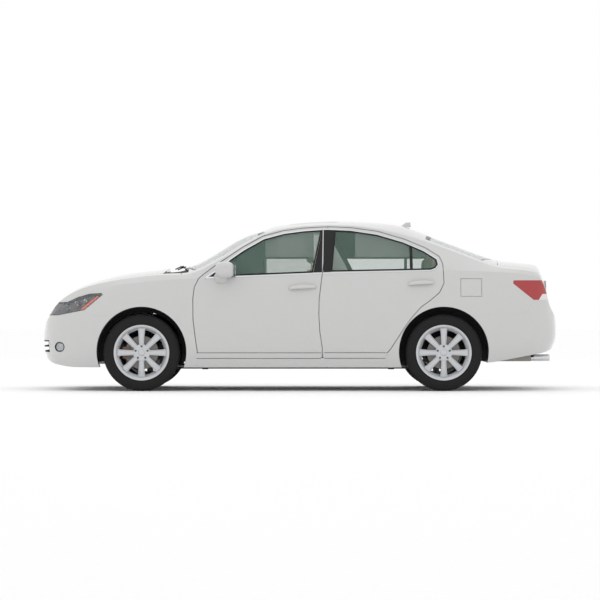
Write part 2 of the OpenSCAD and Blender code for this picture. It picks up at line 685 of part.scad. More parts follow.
// A tyre and a wheel with their middle at the origin, their outer side towards +Z
module tyre() {
    half = tyre_width / 2;
    bead = rim_radius - 21 + seat_gap;
    outer = [[bead, 78], [bead, 91.5], [rim_radius - 17, 100.4], [rim_radius - 2, 100.7], [rim_radius + 1.5, 101],
        [rim_radius + 13, half - 4.5], [(rim_radius + tyre_radius) / 2, half], [tyre_radius - 18, half - 8],
        [tyre_radius - 5, half - 20], [tyre_radius, half - 36]];
    inner = [[tyre_radius - 9, half - 36], [tyre_radius - 24, half - 18], [(rim_radius + tyre_radius) / 2, half - 9],
        [rim_radius + 12, half - 16], [bead + 8, 80]];
    color(dark) for (flip = [0, 1]) mirror([0, 0, flip]) rotate_extrude($fn = 120)
        polygon(concat(outer, [[tyre_radius, 0], [tyre_radius - 9, 0]], inner));
}
module wheel() {
    seat = rim_radius - 21;
    color(silver) {
        rotate_extrude($fn = 120) polygon([[rim_radius, 106], [rim_radius, 101], [rim_radius - 18, 101],
            [seat, 92], [seat, 60], [seat - 23, 45], [seat - 23, -70], [seat, -92], [rim_radius - 18, -101],
            [rim_radius - 4, -101], [rim_radius - 4, -106], [seat - 3, -104], [seat - 28, -74],
            [seat - 28, 48], [seat - 5, 64], [seat - 5, 94], [seat - 2, 106]]);
        difference() {
            union() {
                for (k = [0:spoke_count - 1]) rotate([0, 0, 90 + k * 360 / spoke_count])
                    translate([40, 0, 70]) linear_extrude(24)
                        polygon([[0, -19], [0, 19], [seat - 43, 27], [seat - 43, -27]]);
                translate([0, 0, 19.5]) cylinder(r = 68, h = 68, $fn = 72);
                translate([0, 0, 20]) cylinder(r = disc_radius, h = 22, $fn = 96);
            }
            translate([0, 0, 10]) cylinder(r = bearing_radius, h = 66, $fn = 48);
        }
    }
}
module at_wheel(x, side) {
    translate([x, side * half_track, tyre_radius]) rotate([-side * 90, 0, 0]) children();
}

// Doors, each with its window opening. Behind the outer skin the rear edge stands back by swing_room,
// because that edge moves rearwards as the door starts to open.
swing_room = 8;
hem_depth = 22;
module door_panel(shape, window, x0, x1) {
    difference() {
        intersection() {
            union() {
                intersection() {
                    skin(0, 0, hem_depth, hem_depth, x0, x1);
                    block([x0, x1], [-1000, 0], [0, 1060]);
                }
                intersection() {
                    skin(0, 0, door_depth, frame_depth, x0, x1);
                    translate([-swing_room, 0, 0]) across(shape, -half_gap);
                }
            }
            across(shape, -half_gap);
        }
        across(window);
        top_plans(half_gap + 1);
    }
}
module door_front_left() {
    color(paint) pressed() {
        door_panel(front_door_shape, front_window, -1200, 500);
        hull() {
            for (x = [-735, -595]) for (z = [1035, 1130]) translate([X(x), -Y(925), Z(z)]) sphere(r = 24, $fn = 16);
            for (x = [-705, -620]) for (z = [1045, 1120]) translate([X(x), -Y(1005), Z(z)]) sphere(r = 22, $fn = 16);
        }
        hull() {
            for (x = [-735, -670]) translate([X(x), -Y(925), Z(1020)]) sphere(r = 14, $fn = 12);
            for (x = [-735, -670]) translate([X(x), -Y(846), Z(968)]) sphere(r = 14, $fn = 12);
        }
    }
}
module door_front_right() { mirror([0, 1, 0]) door_front_left(); }
module door_rear_left() { color(paint) pressed() door_panel(rear_door_shape, rear_window_side, 0, 1500); }
module door_rear_right() { mirror([0, 1, 0]) door_rear_left(); }
module pane(window, x0, x1) {
    color(tint) pressed() intersection() {
        skin(glass_inset, glass_inset, glass_inset + glass_depth, glass_inset + glass_depth, x0, x1);
        across(window, -seat_gap);
    }
}
module glass_front_left() { pane(front_window, -1200, 500); }
module glass_front_right() { mirror([0, 1, 0]) glass_front_left(); }
module glass_rear_left() { pane(rear_window_side, 0, 1500); }
module glass_rear_right() { mirror([0, 1, 0]) glass_rear_left(); }

module hood() {
    color(paint) pressed() difference() {
        intersection() {
            skin(0, 0, lid_depth, lid_depth, -2325, -1000);
            down(hood_plan, -half_gap);
            block([-2400, -1000], [-900, 900], [797 + panel_gap, 1300]);
        }
        across(headlight_shape, half_gap, false);
    }
}
// The trunk lid, with the bracket that a number plate is screwed to
module trunk_lid() {
    color(paint) difference() {
        union() {
            pressed() intersection() {
                skin(0, 0, lid_depth, lid_depth, 1600, 2325);
                lid_form(-half_gap);
                translate([panel_gap, 0, 0]) lid_form(-half_gap);
            }
            translate([0, 160, 0]) rotate([90, 0, 0]) linear_extrude(320)
                polygon(side_points([[2252, 842], [2252, 988], [2211, 988], [2240.5, 842]]));
        }
        for (y = [-1, 1]) translate([X(2150), y * plate_hole_pitch / 2, Z(960)]) rotate([0, 90, 0])
            cylinder(r = plate_hole_radius, h = 200, $fn = 24);
    }
}
module fuel_flap() {
    color(paint) pressed() intersection() {
        skin(0, 0, fuel_flap_depth, fuel_flap_depth, 1300, 1750);
        across(fuel_flap_shape, -half_gap);
    }
}

underbody();
trunk_pan();
cowl();
body_side_left();
body_side_right();
roof();
sunroof_glass();
fender_left();
fender_right();
front_bumper();
rear_bumper();
grille();
headlights();
tail_lights();
windshield();
rear_window();
engine();
dashboard();
front_seats();
rear_seat();
rear_shelf();
exhaust();
front_subframe();
rear_axle();
knuckle_left();
knuckle_right();
at_wheel(front_axle_x, -1) tyre();  // tyre_front_left
at_wheel(front_axle_x, 1) tyre();  // tyre_front_right
at_wheel(rear_axle_x, -1) tyre();  // tyre_rear_left
at_wheel(rear_axle_x, 1) tyre();  // tyre_rear_right
at_wheel(front_axle_x, -1) wheel();  // wheel_front_left
at_wheel(front_axle_x, 1) wheel();  // wheel_front_right
at_wheel(rear_axle_x, -1) wheel();  // wheel_rear_left
at_wheel(rear_axle_x, 1) wheel();  // wheel_rear_right
door_front_left();
door_front_right();
door_rear_left();
door_rear_right();
glass_front_left();
glass_front_right();
glass_rear_left();
glass_rear_right();
hood();
trunk_lid();
fuel_flap();
steering_wheel();
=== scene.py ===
import json
import math
import bmesh
import bpy
from mathutils import Matrix, Vector
from mathutils.bvhtree import BVHTree


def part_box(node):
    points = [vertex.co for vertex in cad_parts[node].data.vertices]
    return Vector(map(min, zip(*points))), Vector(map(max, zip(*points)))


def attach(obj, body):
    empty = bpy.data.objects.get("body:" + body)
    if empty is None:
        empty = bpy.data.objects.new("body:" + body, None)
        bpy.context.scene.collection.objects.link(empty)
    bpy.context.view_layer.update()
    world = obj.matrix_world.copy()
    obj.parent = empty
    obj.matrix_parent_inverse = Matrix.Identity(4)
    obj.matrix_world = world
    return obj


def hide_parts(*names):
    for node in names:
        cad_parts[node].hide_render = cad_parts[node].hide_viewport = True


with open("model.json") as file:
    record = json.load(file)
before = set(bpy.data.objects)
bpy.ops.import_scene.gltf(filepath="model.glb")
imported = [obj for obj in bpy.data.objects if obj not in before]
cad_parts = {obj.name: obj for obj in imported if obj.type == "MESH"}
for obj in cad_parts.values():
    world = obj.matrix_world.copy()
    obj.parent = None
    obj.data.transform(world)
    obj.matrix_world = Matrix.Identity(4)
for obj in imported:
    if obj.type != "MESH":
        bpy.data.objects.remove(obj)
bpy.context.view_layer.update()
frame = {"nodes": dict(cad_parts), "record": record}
MM = 0.001

# ---- Places taken from the frame -------------------------------------------------------------------


def middle(node):
    low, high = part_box(node)
    return (low + high) / 2


front_axle = middle("tyre_front_left")
rear_axle = middle("tyre_rear_left")
nose_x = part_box("front_bumper")[0].x
tail_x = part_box("rear_bumper")[1].x
half_width = -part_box("body_side_left")[0].y
roof_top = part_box("roof")[1].z
tyre_low, tyre_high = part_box("tyre_front_left")
tyre_radius = (tyre_high.z - tyre_low.z) / 2
tyre_width = tyre_high.y - tyre_low.y

# The outlines below are drawn in millimetres on the base car, whose nose, axles and tail stand here
BASE_X = (-2325, -1414, 1287, 2325)
REAL_X = (nose_x, front_axle.x, rear_axle.x, tail_x)
BASE_HALF_WIDTH = 900
BASE_ROOF = 1537


def along(x):
    k = 0 if x < BASE_X[1] else 1 if x < BASE_X[2] else 2
    share = (x - BASE_X[k]) / (BASE_X[k + 1] - BASE_X[k])
    return REAL_X[k] + share * (REAL_X[k + 1] - REAL_X[k])


def aside(y):
    return y * half_width / BASE_HALF_WIDTH


def up(z):
    return z * roof_top / BASE_ROOF


def at(x, y, z):
    return Vector((along(x), aside(y), up(z)))


# ---- The body's form -------------------------------------------------------------------------------

TOP_LINE = [(-2325, 560), (-2308, 610), (-2275, 668), (-2187, 797), (-2094, 882), (-1966, 953),
            (-1778, 1010), (-1578, 1056), (-1384, 1081), (-1210, 1101), (-1056, 1116), (-458, 1417),
            (-347, 1446), (-235, 1487), (-87, 1511), (98, 1528), (340, 1537), (467, 1535), (713, 1522),
            (898, 1502), (1016, 1469), (1163, 1415), (1780, 1187), (1804, 1179), (2001, 1158),
            (2140, 1142), (2174, 1117), (2201, 1019), (2232, 895), (2243, 806), (2285, 711), (2325, 640)]
LOW_LINE = [(-2325, 460), (-2312, 343), (-2261, 271), (-2196, 239), (-2003, 213), (-1100, 210),
            (1000, 210), (1680, 254), (2002, 307), (2260, 366), (2309, 427), (2325, 520)]
WIDE_LINE = [(-2325, 330), (-2312, 470), (-2275, 600), (-2230, 680), (-2170, 745), (-2080, 805),
             (-1950, 855), (-1800, 882), (-1414, 900), (-900, 897), (200, 897), (1287, 900), (1700, 887),
             (1950, 862), (2100, 825), (2200, 770), (2260, 710), (2300, 620), (2325, 420)]
LOW_WIDTH = [(-2325, 300), (-2275, 520), (-2170, 680), (-1950, 800), (-1414, 850), (1287, 850),
             (1700, 835), (1950, 800), (2200, 700), (2325, 390)]
SHOULDER_LINE = [(-2325, 545), (-2308, 590), (-2275, 635), (-2200, 715), (-2100, 790), (-1950, 862),
                 (-1778, 915), (-1500, 965), (-1210, 993), (-900, 1008), (-563, 1025), (154, 1052),
                 (573, 1064), (1171, 1076), (1500, 1074), (1800, 1062), (2050, 1040), (2140, 1020),
                 (2185, 960), (2220, 860), (2243, 770), (2285, 690), (2325, 625)]
SHOULDER_WIDTH = [(-2325, 310), (-2275, 560), (-2200, 655), (-2100, 725), (-1950, 775), (-1778, 805),
                  (-1500, 830), (-1210, 842), (-900, 848), (1171, 848), (1500, 842), (1800, 825),
                  (2050, 790), (2185, 745), (2285, 640), (2325, 400)]
RAIL_LINE = [(-2325, 552), (-2308, 602), (-2275, 655), (-2200, 765), (-2100, 845), (-1950, 918),
             (-1778, 965), (-1500, 1012), (-1210, 1038), (-1040, 1040), (-900, 1078), (-800, 1128),
             (-623, 1228), (-503, 1305), (-324, 1405), (-144, 1455), (35, 1478), (256, 1488), (453, 1484),
             (692, 1455), (932, 1400), (1111, 1348), (1231, 1305), (1400, 1243), (1600, 1165),
             (1750, 1112), (1850, 1095), (2050, 1075), (2140, 1052), (2185, 985), (2220, 880),
             (2243, 785), (2285, 700), (2325, 632)]
RAIL_WIDTH = [(-2325, 280), (-2275, 500), (-2200, 600), (-2100, 665), (-1950, 715), (-1778, 745),
              (-1500, 772), (-1210, 790), (-1040, 800), (-900, 783), (-800, 765), (-623, 722),
              (-503, 692), (-324, 650), (-144, 625), (35, 610), (256, 602), (453, 602), (692, 608),
              (932, 624), (1111, 640), (1231, 655), (1400, 682), (1600, 722), (1750, 757), (1850, 772),
              (2050, 745), (2185, 690), (2285, 560), (2325, 380)]


def rise(points, k):
    (x0, v0), (x1, v1) = points[k], points[k + 1]
    return (v1 - v0) / (x1 - x0)


def lean(points, k):
    if k == 0:
        return rise(points, 0)
    if k == len(points) - 1:
        return rise(points, k - 1)
    before, after = rise(points, k - 1), rise(points, k)
    return 0 if before * after <= 0 else 2 * before * after / (before + after)


def curve(points, x):
    """A smooth curve through (position, value) points that never overshoots them."""
    k = 0
    while k < len(points) - 2 and x >= points[k + 1][0]:
        k += 1
    (x0, v0), (x1, v1) = points[k], points[k + 1]
    wide = x1 - x0
    t = max(0, min(1, (x - x0) / wide))
    return (v0 * (1 - t) ** 2 * (1 + 2 * t) + v1 * t * t * (3 - 2 * t)
            + wide * t * (1 - t) * (lean(points, k) * (1 - t) - lean(points, k + 1) * t))


def even_steps(count, tight=0.01):
    """Shares from 0 to 1, with one more close to each end so that a crease stays crisp."""
    inner = [k / count for k in range(1, count)]
    return [tight] + inner + [1 - tight, 1]


SIDE_STEPS = even_steps(22)
PANE_STEPS = even_steps(10, 0.02)
CROWN_STEPS = even_steps(14, 0.02)


def flank(t, low, wide, high):
    if t < 0.45:
        return wide - (wide - low) * (1 - t / 0.45) ** 3
    return wide - (wide - high) * ((t - 0.45) / 0.55) ** 2.2


def half_section(x):
    """(y, z) of the body's right half at a place x, from its underside to its top."""
    low, belt, rail, top = (curve(line, x) for line in (LOW_LINE, SHOULDER_LINE, RAIL_LINE, TOP_LINE))
    low_w, wide, belt_w, rail_w = (
        curve(line, x) for line in (LOW_WIDTH, WIDE_LINE, SHOULDER_WIDTH, RAIL_WIDTH))
    points = [(0, low), (low_w * 0.6, low), (flank(0, low_w, wide, belt_w), low)]
    points += [(flank(t, low_w, wide, belt_w), low + (belt - low) * t) for t in SIDE_STEPS]
    points += [(belt_w + (rail_w - belt_w) * t + t * (1 - t) * 0.12 * (rail - belt),
                belt + (rail - belt) * t) for t in PANE_STEPS]
    points += [(rail_w * (1 - t), rail + (top - rail) * (1 - (1 - t) ** 2.2)) for t in CROWN_STEPS]
    return points


def ring(x):
    half = half_section(x)
    return half + [(-y, z) for y, z in half[-2:0:-1]]


def moved_in(section, deep, thin):
    """A section moved inwards: by deep below the belt line and by thin above it."""
    moved = []
    count = len(section)
    for k, (y, z) in enumerate(section):
        y0, z0 = section[k - 1]
        y1, z1 = section[(k + 1) % count]
        long = math.hypot(y1 - y0, z1 - z0) or 1
        share = max(0, min(1, (z - 1005) / 60))
        depth = deep + (thin - deep) * share
        moved.append((y - depth * (z1 - z0) / long, z + depth * (y1 - y0) / long))
    return moved


def end_share(x):
    return min(1, (min(x - BASE_X[0], BASE_X[3] - x) + 100) / 600)


def stations(x0, x1):
    near_ends = [BASE_X[0] + d for d in range(0, 120, 6)] + [BASE_X[3] - d for d in range(0, 120, 6)]
    middle_ones = list(range(BASE_X[0] + 120, BASE_X[3] - 119, 18))
    return [x0] + [x for x in sorted(near_ends + middle_ones) if x0 + 2 < x < x1 - 2] + [x1]


def new_piece(name, verts, faces):
    mesh = bpy.data.meshes.new(name)
    mesh.from_pydata([tuple(v) for v in verts], [], faces)
    mesh.validate()
    piece = bpy.data.objects.new(name, mesh)
    bpy.context.scene.collection.objects.link(piece)
    return piece


def face_outwards(piece):
    work = bmesh.new()
    work.from_mesh(piece.data)
    bmesh.ops.recalc_face_normals(work, faces=work.faces)
    work.to_mesh(piece.data)
    work.free()
    return piece


def loft(name, rings, closed_ends=True):
    """A skin over rings that all have the same number of points."""
    count = len(rings[0])
    verts = [p for r in rings for p in r]
    faces = [(i * count + k, i * count + (k + 1) % count, (i + 1) * count + (k + 1) % count,
              (i + 1) * count + k)
             for i in range(len(rings) - 1) for k in range(count)]
    if closed_ends:
        faces.append(tuple(range(count))[::-1])
        faces.append(tuple((len(rings) - 1) * count + k for k in range(count)))
    return face_outwards(new_piece(name, verts, faces))


def body_form(deep=0, thin=0, x0=BASE_X[0], x1=BASE_X[3]):
    margin = max(deep, thin)
    rings = []
    for x in stations(max(x0, BASE_X[0] + margin), min(x1, BASE_X[3] - margin)):
        share = end_share(x)
        rings.append([at(x, y, z) for y, z in moved_in(ring(x), deep * share, thin * share)])
    return loft("form", rings)


def remove(piece):
    mesh = piece.data
    bpy.data.objects.remove(piece)
    bpy.data.meshes.remove(mesh)


def carve(piece, how, tools):
    """Cuts the tools out of a piece, or keeps only what lies inside each of them, and uses them up."""
    for tool in tools:
        step = piece.modifiers.new("carve", "BOOLEAN")
        step.solver = "MANIFOLD"
        step.operation = how
        step.object = tool
    done = bpy.data.meshes.new_from_object(piece.evaluated_get(bpy.context.evaluated_depsgraph_get()))
    piece.modifiers.clear()
    old = piece.data
    piece.data = done
    bpy.data.meshes.remove(old)
    for tool in tools:
        remove(tool)
    return piece


def without(piece, *tools):
    return carve(piece, "DIFFERENCE", tools)


def within(piece, *tools):
    return carve(piece, "INTERSECT", tools)


def skin(outer, inner, x0, x1):
    """The body between two depths below its surface; a depth is a number or (below, above) the belt."""
    outer, inner = (depth if isinstance(depth, tuple) else (depth, depth) for depth in (outer, inner))
    return without(body_form(*outer, x0, x1), body_form(*inner, x0 - 40, x1 + 40))


def grown(points, by):
    """A closed outline moved outwards by a distance, with its corners kept."""
    area = sum(points[k - 1][0] * points[k][1] - points[k][0] * points[k - 1][1]
               for k in range(len(points)))
    sign = 1 if area > 0 else -1
    moved = []
    for k, (a, b) in enumerate(points):
        before = Vector((a - points[k - 1][0], b - points[k - 1][1])).normalized()
        after = Vector((points[(k + 1) % len(points)][0] - a,
                        points[(k + 1) % len(points)][1] - b)).normalized()
        out = (Vector((before.y, -before.x)) + Vector((after.y, -after.x))) * sign
        size = max(0.3, out.length_squared / 2)
        moved.append((a + out.x * by / size, b + out.y * by / size))
    return moved


def prism(ends):
    count = len(ends[0])
    faces = [tuple(range(count)), tuple(range(2 * count - 1, count - 1, -1))]
    faces += [(k, (k + 1) % count, count + (k + 1) % count, count + k) for k in range(count)]
    return face_outwards(new_piece("tool", ends[0] + ends[1], faces))


def across(points, grow=0, y=(-2000, 0)):
    """A tool with an outline as seen from the side, given as (x, z)."""
    outline = grown(points, grow) if grow else points
    return prism([[at(x, side, z) for x, z in outline] for side in y])


def down(points, grow=0, z=(0, 2000)):
    """A tool with an outline as seen from above, given as (x, y)."""
    outline = grown(points, grow) if grow else points
    return prism([[at(x, y, height) for x, y in outline] for height in z])


def block(x, y, z):
    return down([(x[0], y[0]), (x[1], y[0]), (x[1], y[1]), (x[0], y[1])], 0, z)


def round_tool(x, z, radius, y=(-2000, 0), steps=96):
    """A round tool across the car, its radius in metres."""
    middle_point = at(x, 0, z)
    turn = [(math.cos(2 * math.pi * k / steps) * radius, math.sin(2 * math.pi * k / steps) * radius)
            for k in range(steps)]
    return prism([[(middle_point.x + a, aside(side), middle_point.z + b) for a, b in turn] for side in y])


# ---- Finishes --------------------------------------------------------------------------------------


FINISHES = {}


def tone(code):
    """A linear colour from an sRGB hex value."""
    parts = [int(code[k:k + 2], 16) / 255 for k in (0, 2, 4)]
    return tuple(c / 12.92 if c <= 0.04045 else ((c + 0.055) / 1.055) ** 2.4 for c in parts) + (1,)


def add(tree, kind, settings=None, **sockets):
    """Adds a node, sets its options, and gives each input a value or a link."""
    made = tree.nodes.new(kind)
    for name, value in (settings or {}).items():
        setattr(made, name, value)
    for name, value in sockets.items():
        numbered = name[0] == "n" and name[1:].isdigit()
        socket = made.inputs[int(name[1:]) if numbered else name.replace("_", " ")]
        if isinstance(value, bpy.types.NodeSocket):
            tree.links.new(value, socket)
        else:
            socket.default_value = value
    return made


def finish(name, light, dark, grain_mm, roughness, bump_mm, spread=0.08, detail=3, **shader):
    """A finish whose colour, gloss and relief vary over a grain of a real size."""
    made = bpy.data.materials.new(name)
    made.use_nodes = True
    tree = made.node_tree
    surface = tree.nodes["Principled BSDF"]
    place = add(tree, "ShaderNodeTexCoord").outputs["Object"]
    grain = add(tree, "ShaderNodeTexNoise", Vector=place, Scale=1 / (grain_mm * MM), Detail=detail)
    mix = add(tree, "ShaderNodeMix", {"data_type": "RGBA"}, Factor=grain.outputs["Fac"])
    mix.inputs[6].default_value = tone(dark)
    mix.inputs[7].default_value = tone(light)
    tree.links.new(mix.outputs[2], surface.inputs["Base Color"])
    gloss = add(tree, "ShaderNodeMapRange", Value=grain.outputs["Fac"])
    gloss.inputs["To Min"].default_value = max(0, roughness - spread)
    gloss.inputs["To Max"].default_value = min(1, roughness + spread)
    tree.links.new(gloss.outputs["Result"], surface.inputs["Roughness"])
    if bump_mm:
        relief = add(tree, "ShaderNodeBump", Height=grain.outputs["Fac"], Distance=bump_mm * MM,
                     Strength=1.0)
        tree.links.new(relief.outputs["Normal"], surface.inputs["Normal"])
    for socket, value in shader.items():
        surface.inputs[socket.replace("_", " ")].default_value = value
    FINISHES[name] = made
    return made


# Two-layer car enamel under clear lacquer: a soft white with a sharp gloss and the faintest orange peel
finish("white_paint", "C6C6C5", "C0C0BF", 9, 0.35, 0.02, spread=0.03, Coat_Weight=1.0, Coat_Roughness=0.04,
       Coat_IOR=1.5)
# Moulded, grained ABS: matt and nearly black, with a fine leather-like grain
finish("black_plastic", "1F1F20", "161617", 2, 0.6, 0.08, Specular_IOR_Level=0.3)
# Floor covering of painted paper: an even matt white
finish("floor", "FFFFFF", "FCFCFC", 40, 0.9, 0)
# Soft ABS skin of the dashboard, steering wheel and gear lever: dull, so it mirrors no lamp
finish("soft_trim", "3A3A3B", "2F2F30", 3, 0.75, 0.1)
# Laminated, green-tinted window glass: clear enough to see the seats, with a sharp surface gloss
finish("tinted_glass", "86A596", "809F90", 60, 0.03, 0, spread=0.02, Alpha=0.18, IOR=1.5)
# Dark privacy glass of the roof's window: nearly black and very glossy
finish("dark_glass", "17191A", "121415", 60, 0.05, 0, spread=0.02, IOR=1.5, Coat_Weight=0.5)
# Chrome-plated strip: a bright mirror with very fine polishing marks
finish("chrome", "D8DADC", "CBCDD0", 4, 0.12, 0.005, spread=0.05, Metallic=1.0)
# Cast aluminium wheel under silver lacquer: a bright, slightly sparkling satin
finish("alloy_wheel", "C9CBCD", "BDBFC2", 3, 0.3, 0.01, spread=0.08, Metallic=0.75, Coat_Weight=0.4)
# Natural rubber with carbon black: charcoal, dull, a little dusty in patches
finish("tyre", "1E1E1F", "151516", 12, 0.8, 0.25, spread=0.1, Specular_IOR_Level=0.3)
# Turned cast iron of the brake discs: grey, with the sheen of a worn face
finish("disc_iron", "7C7A78", "6A6866", 5, 0.35, 0.03, Metallic=0.9)
# Cast iron calliper with a film of rust: matt brown
finish("rusty_iron", "8A6A58", "5E4A40", 8, 0.7, 0.3, Metallic=0.3)
# Clear polycarbonate lamp cover: almost invisible, with a wet gloss
finish("headlight_lens", "EEF1F2", "E8ECEE", 60, 0.03, 0, spread=0.02, Alpha=0.07, IOR=1.58)
# Metallised reflector bowl: a bright, slightly uneven mirror
finish("reflector", "C4C7CA", "8E9194", 14, 0.2, 0.5, Metallic=1.0)
# Dark grey moulded bezel inside the lamp, with a satin face
finish("lamp_bezel", "5A5C5E", "434547", 12, 0.3, 0.1, Metallic=0.5)
# Moulded orange acrylic of the turn signals, with fine prisms behind its face
finish("orange_lens", "DE5A2C", "C8461C", 3, 0.2, 0.1, Coat_Weight=0.6)
# Moulded red acrylic of the tail lights: deep red with a glossy face
finish("tail_light_lens", "B3262A", "8E1519", 5, 0.12, 0.05, spread=0.04, Coat_Weight=0.8)
# Clear acrylic of the reversing lamps: milky white with a glossy face
finish("clear_lens", "E6E2E0", "D2CDCB", 4, 0.15, 0.05, Coat_Weight=0.6)
# Beige seat leather: satin, with a pebbled grain
finish("beige_leather", "B9A88E", "A8977E", 5, 0.55, 0.25, spread=0.06, Sheen_Weight=0.1)
# Beige moulded trim of the dashboard and door cards: matt, finely grained
finish("beige_trim", "A99C88", "9C8F7B", 3, 0.7, 0.12)
# Light woven cloth of the ceiling: soft and even
finish("roof_cloth", "B9B4A9", "AAA59A", 3, 0.95, 0.2, Sheen_Weight=0.3)
# Sand-cast iron and aluminium of the engine: rough and dark grey
finish("cast_engine", "6C6E70", "515355", 6, 0.6, 0.5, Metallic=0.6)
# Black-painted pressed steel of axles and arms: a thin, slightly glossy film over a rough sheet
finish("chassis_steel", "3B3C3E", "2C2D2F", 10, 0.5, 0.2, Metallic=0.3)
# Stainless exhaust tube, brushed along its length and a little heat-browned
finish("exhaust_steel", "9B9893", "7F7A73", 15, 0.35, 0.05, Metallic=0.9)
# Sprayed stone-chip coating under the floor: black, pebbly and dull
finish("underbody_coating", "333334", "262627", 7, 0.85, 0.6)
# Pressed aluminium plate with white reflective film, left blank
finish("plate_white", "EDEDEA", "E2E2DF", 2, 0.45, 0.02)
# The same enamel in the hollow behind a handle, where less light falls
finish("cup_shade", "C2C2C1", "B9B9B8", 9, 0.4, 0.02, Coat_Weight=0.8)
# Painted shade: a dull dark grey on the cut edges, seams and insides of the painted panels, standing in for
# the shade in the folds behind a panel's edge
finish("painted_shade", "3E3E40", "323234", 6, 0.8, 0.1, Specular_IOR_Level=0.3)
# Black ceramic print round the edge of the fixed windows
finish("glass_border", "1A1B1C", "151617", 5, 0.4, 0.01)
# Dark phosphated steel of the wheel nuts
finish("nut_steel", "75777A", "55575A", 2, 0.35, 0.02, Metallic=0.8)


# ---- Outlines on the base car, in millimetres ------------------------------------------------------

GAP = 6
HALF_GAP = GAP / 2
ARCH_RADIUS = tyre_radius + 59 * MM
ARCH_Z = 352
FRONT_X, REAR_X = BASE_X[1], BASE_X[2]

DOOR_FRONT_EDGE = [(-905, 1005), (-942, 930), (-955, 830), (-953, 641), (-930, 454), (-911, 329)]
DOOR_SPLIT = [(202, 307), (200, 391), (178, 535), (170, 690), (173, 822), (202, 1055)]
DOOR_REAR_EDGE = [(717, 305), (788, 349), (813, 379), (867, 463), (986, 642), (1082, 750),
                  (1166, 810), (1249, 882), (1289, 965), (1285, 1037)]
FRAME_FRONT = [(253, 1474), (35, 1462), (-148, 1438), (-330, 1389), (-513, 1288), (-635, 1205),
               (-740, 1135), (-860, 1045)]
FRAME_REAR = [(1279, 1140), (1250, 1205), (1125, 1284), (945, 1360), (700, 1433), (453, 1467), (253, 1474)]
FRONT_DOOR = DOOR_FRONT_EDGE + [(-886, 300), (202, 300)] + DOOR_SPLIT + FRAME_FRONT
REAR_DOOR = [(202, 300)] + DOOR_REAR_EDGE + FRAME_REAR + DOOR_SPLIT[::-1]
FRONT_WINDOW = [(-800, 1025), (-623, 1178), (-503, 1261), (-324, 1362), (-144, 1411), (35, 1435),
                (203, 1446), (118, 1058), (-563, 1030)]
REAR_WINDOW = [(276, 1066), (311, 1447), (453, 1440), (692, 1404), (932, 1333), (1111, 1255),
               (1225, 1180), (1236, 1132), (1212, 1100), (1171, 1084), (573, 1072)]
HEADLIGHT = [(-2400, 676), (-2171, 676), (-1926, 723), (-1761, 861), (-1774, 877),
             (-1882, 870), (-1982, 842), (-2083, 797), (-2400, 797)]
TAIL_LIGHT = [(1909, 960), (1909, 984), (1919, 990), (2400, 992), (2400, 815), (2093, 815)]
FRONT_BUMPER = [(-2400, 100), (-1600, 100), (-1600, 674), (-1882, 674), (-1926, 717), (-2171, 672),
                (-2400, 672)]
REAR_BUMPER = [(1450, 100), (2400, 100), (2400, 803), (2074, 803), (2033, 712), (1991, 690), (1450, 667)]
FENDER = [(-2250, 640), (-1600, 150), (-930, 150), (-914, 329), (-933, 454), (-956, 641),
          (-958, 830), (-945, 930), (-908, 1005), (-960, 1045), (-1010, 1300), (-2250, 1300)]
FUEL_FLAP = [(1438, 846), (1625, 846), (1625, 1004), (1438, 1004)]
HOOD_EDGE = [(-2400, 575), (-2150, 600), (-1900, 660), (-1500, 690), (-1225, 700)]
HOOD_REAR = [(-1225, 700), (-1200, 500), (-1190, 250), (-1186, 0)]
SHIELD_BASE = [(-1056, 0), (-1045, 250), (-1010, 500), (-950, 705)]
SHIELD_TOP = [(-310, 580), (-335, 300), (-347, 0)]
ROOF_EDGE = [(-200, 598), (35, 580), (256, 572), (500, 572), (800, 585), (1000, 600)]
BACK_TOP = [(1163, 0), (1155, 300), (1135, 560)]
BACK_BASE = [(1640, 655), (1740, 400), (1775, 150), (1780, 0)]
LID_FRONT = [(1800, 0), (1797, 250), (1790, 450), (1778, 650)]
LID_EDGE = [(2000, 650), (2400, 640)]


def both(points):
    """The whole outline seen from above, from its half with y >= 0."""
    halves = points + [(x, -y) for x, y in points[::-1]]
    return [p for k, p in enumerate(halves) if p != halves[k - 1]]


HOOD_PLAN = both([(-2400, 0)] + HOOD_EDGE + HOOD_REAR[1:])
SHIELD_PLAN = both(SHIELD_BASE + SHIELD_TOP)
BACK_PLAN = both(BACK_TOP + BACK_BASE)
ROOF_PLAN = both([(-347, 0), (-335, 300), (-310, 580)] + ROOF_EDGE + [(1135, 560), (1155, 300), (1163, 0)])
LID_PLAN = both(LID_FRONT + LID_EDGE + [(2400, 0)])
COWL_PLAN = both([(-1310, 0), (-1310, 690), (-1225, 715), (-1000, 715), (-1000, 0)])
SUNROOF_PLAN = both([(-87, 0), (-87, 400), (-60, 425), (315, 425), (340, 400), (340, 0)])

# The smooth outside of the body gives every panel its shading
outside = body_form()
OUTSIDE_TREE = BVHTree.FromObject(outside, bpy.context.evaluated_depsgraph_get())
outside.data.shade_smooth()
OUTSIDE_NORMALS = [v.normal.copy() for v in outside.data.vertices]
OUTSIDE_FACES = [tuple(f.vertices) for f in outside.data.polygons]
OUTSIDE_POINTS = [v.co.copy() for v in outside.data.vertices]
remove(outside)


def outside_normal(point):
    """The body's smooth outward direction at the nearest point of its outside, and how far that is."""
    spot, _, face, distance = OUTSIDE_TREE.find_nearest(point)
    total = Vector()
    for corner in OUTSIDE_FACES[face]:
        total += OUTSIDE_NORMALS[corner] / max(1e-4, (OUTSIDE_POINTS[corner] - spot).length)
    return total.normalized(), distance


# Faces deeper than this below the paint take the dark grey painted shade
SKIN_EDGE = 1.5 * MM


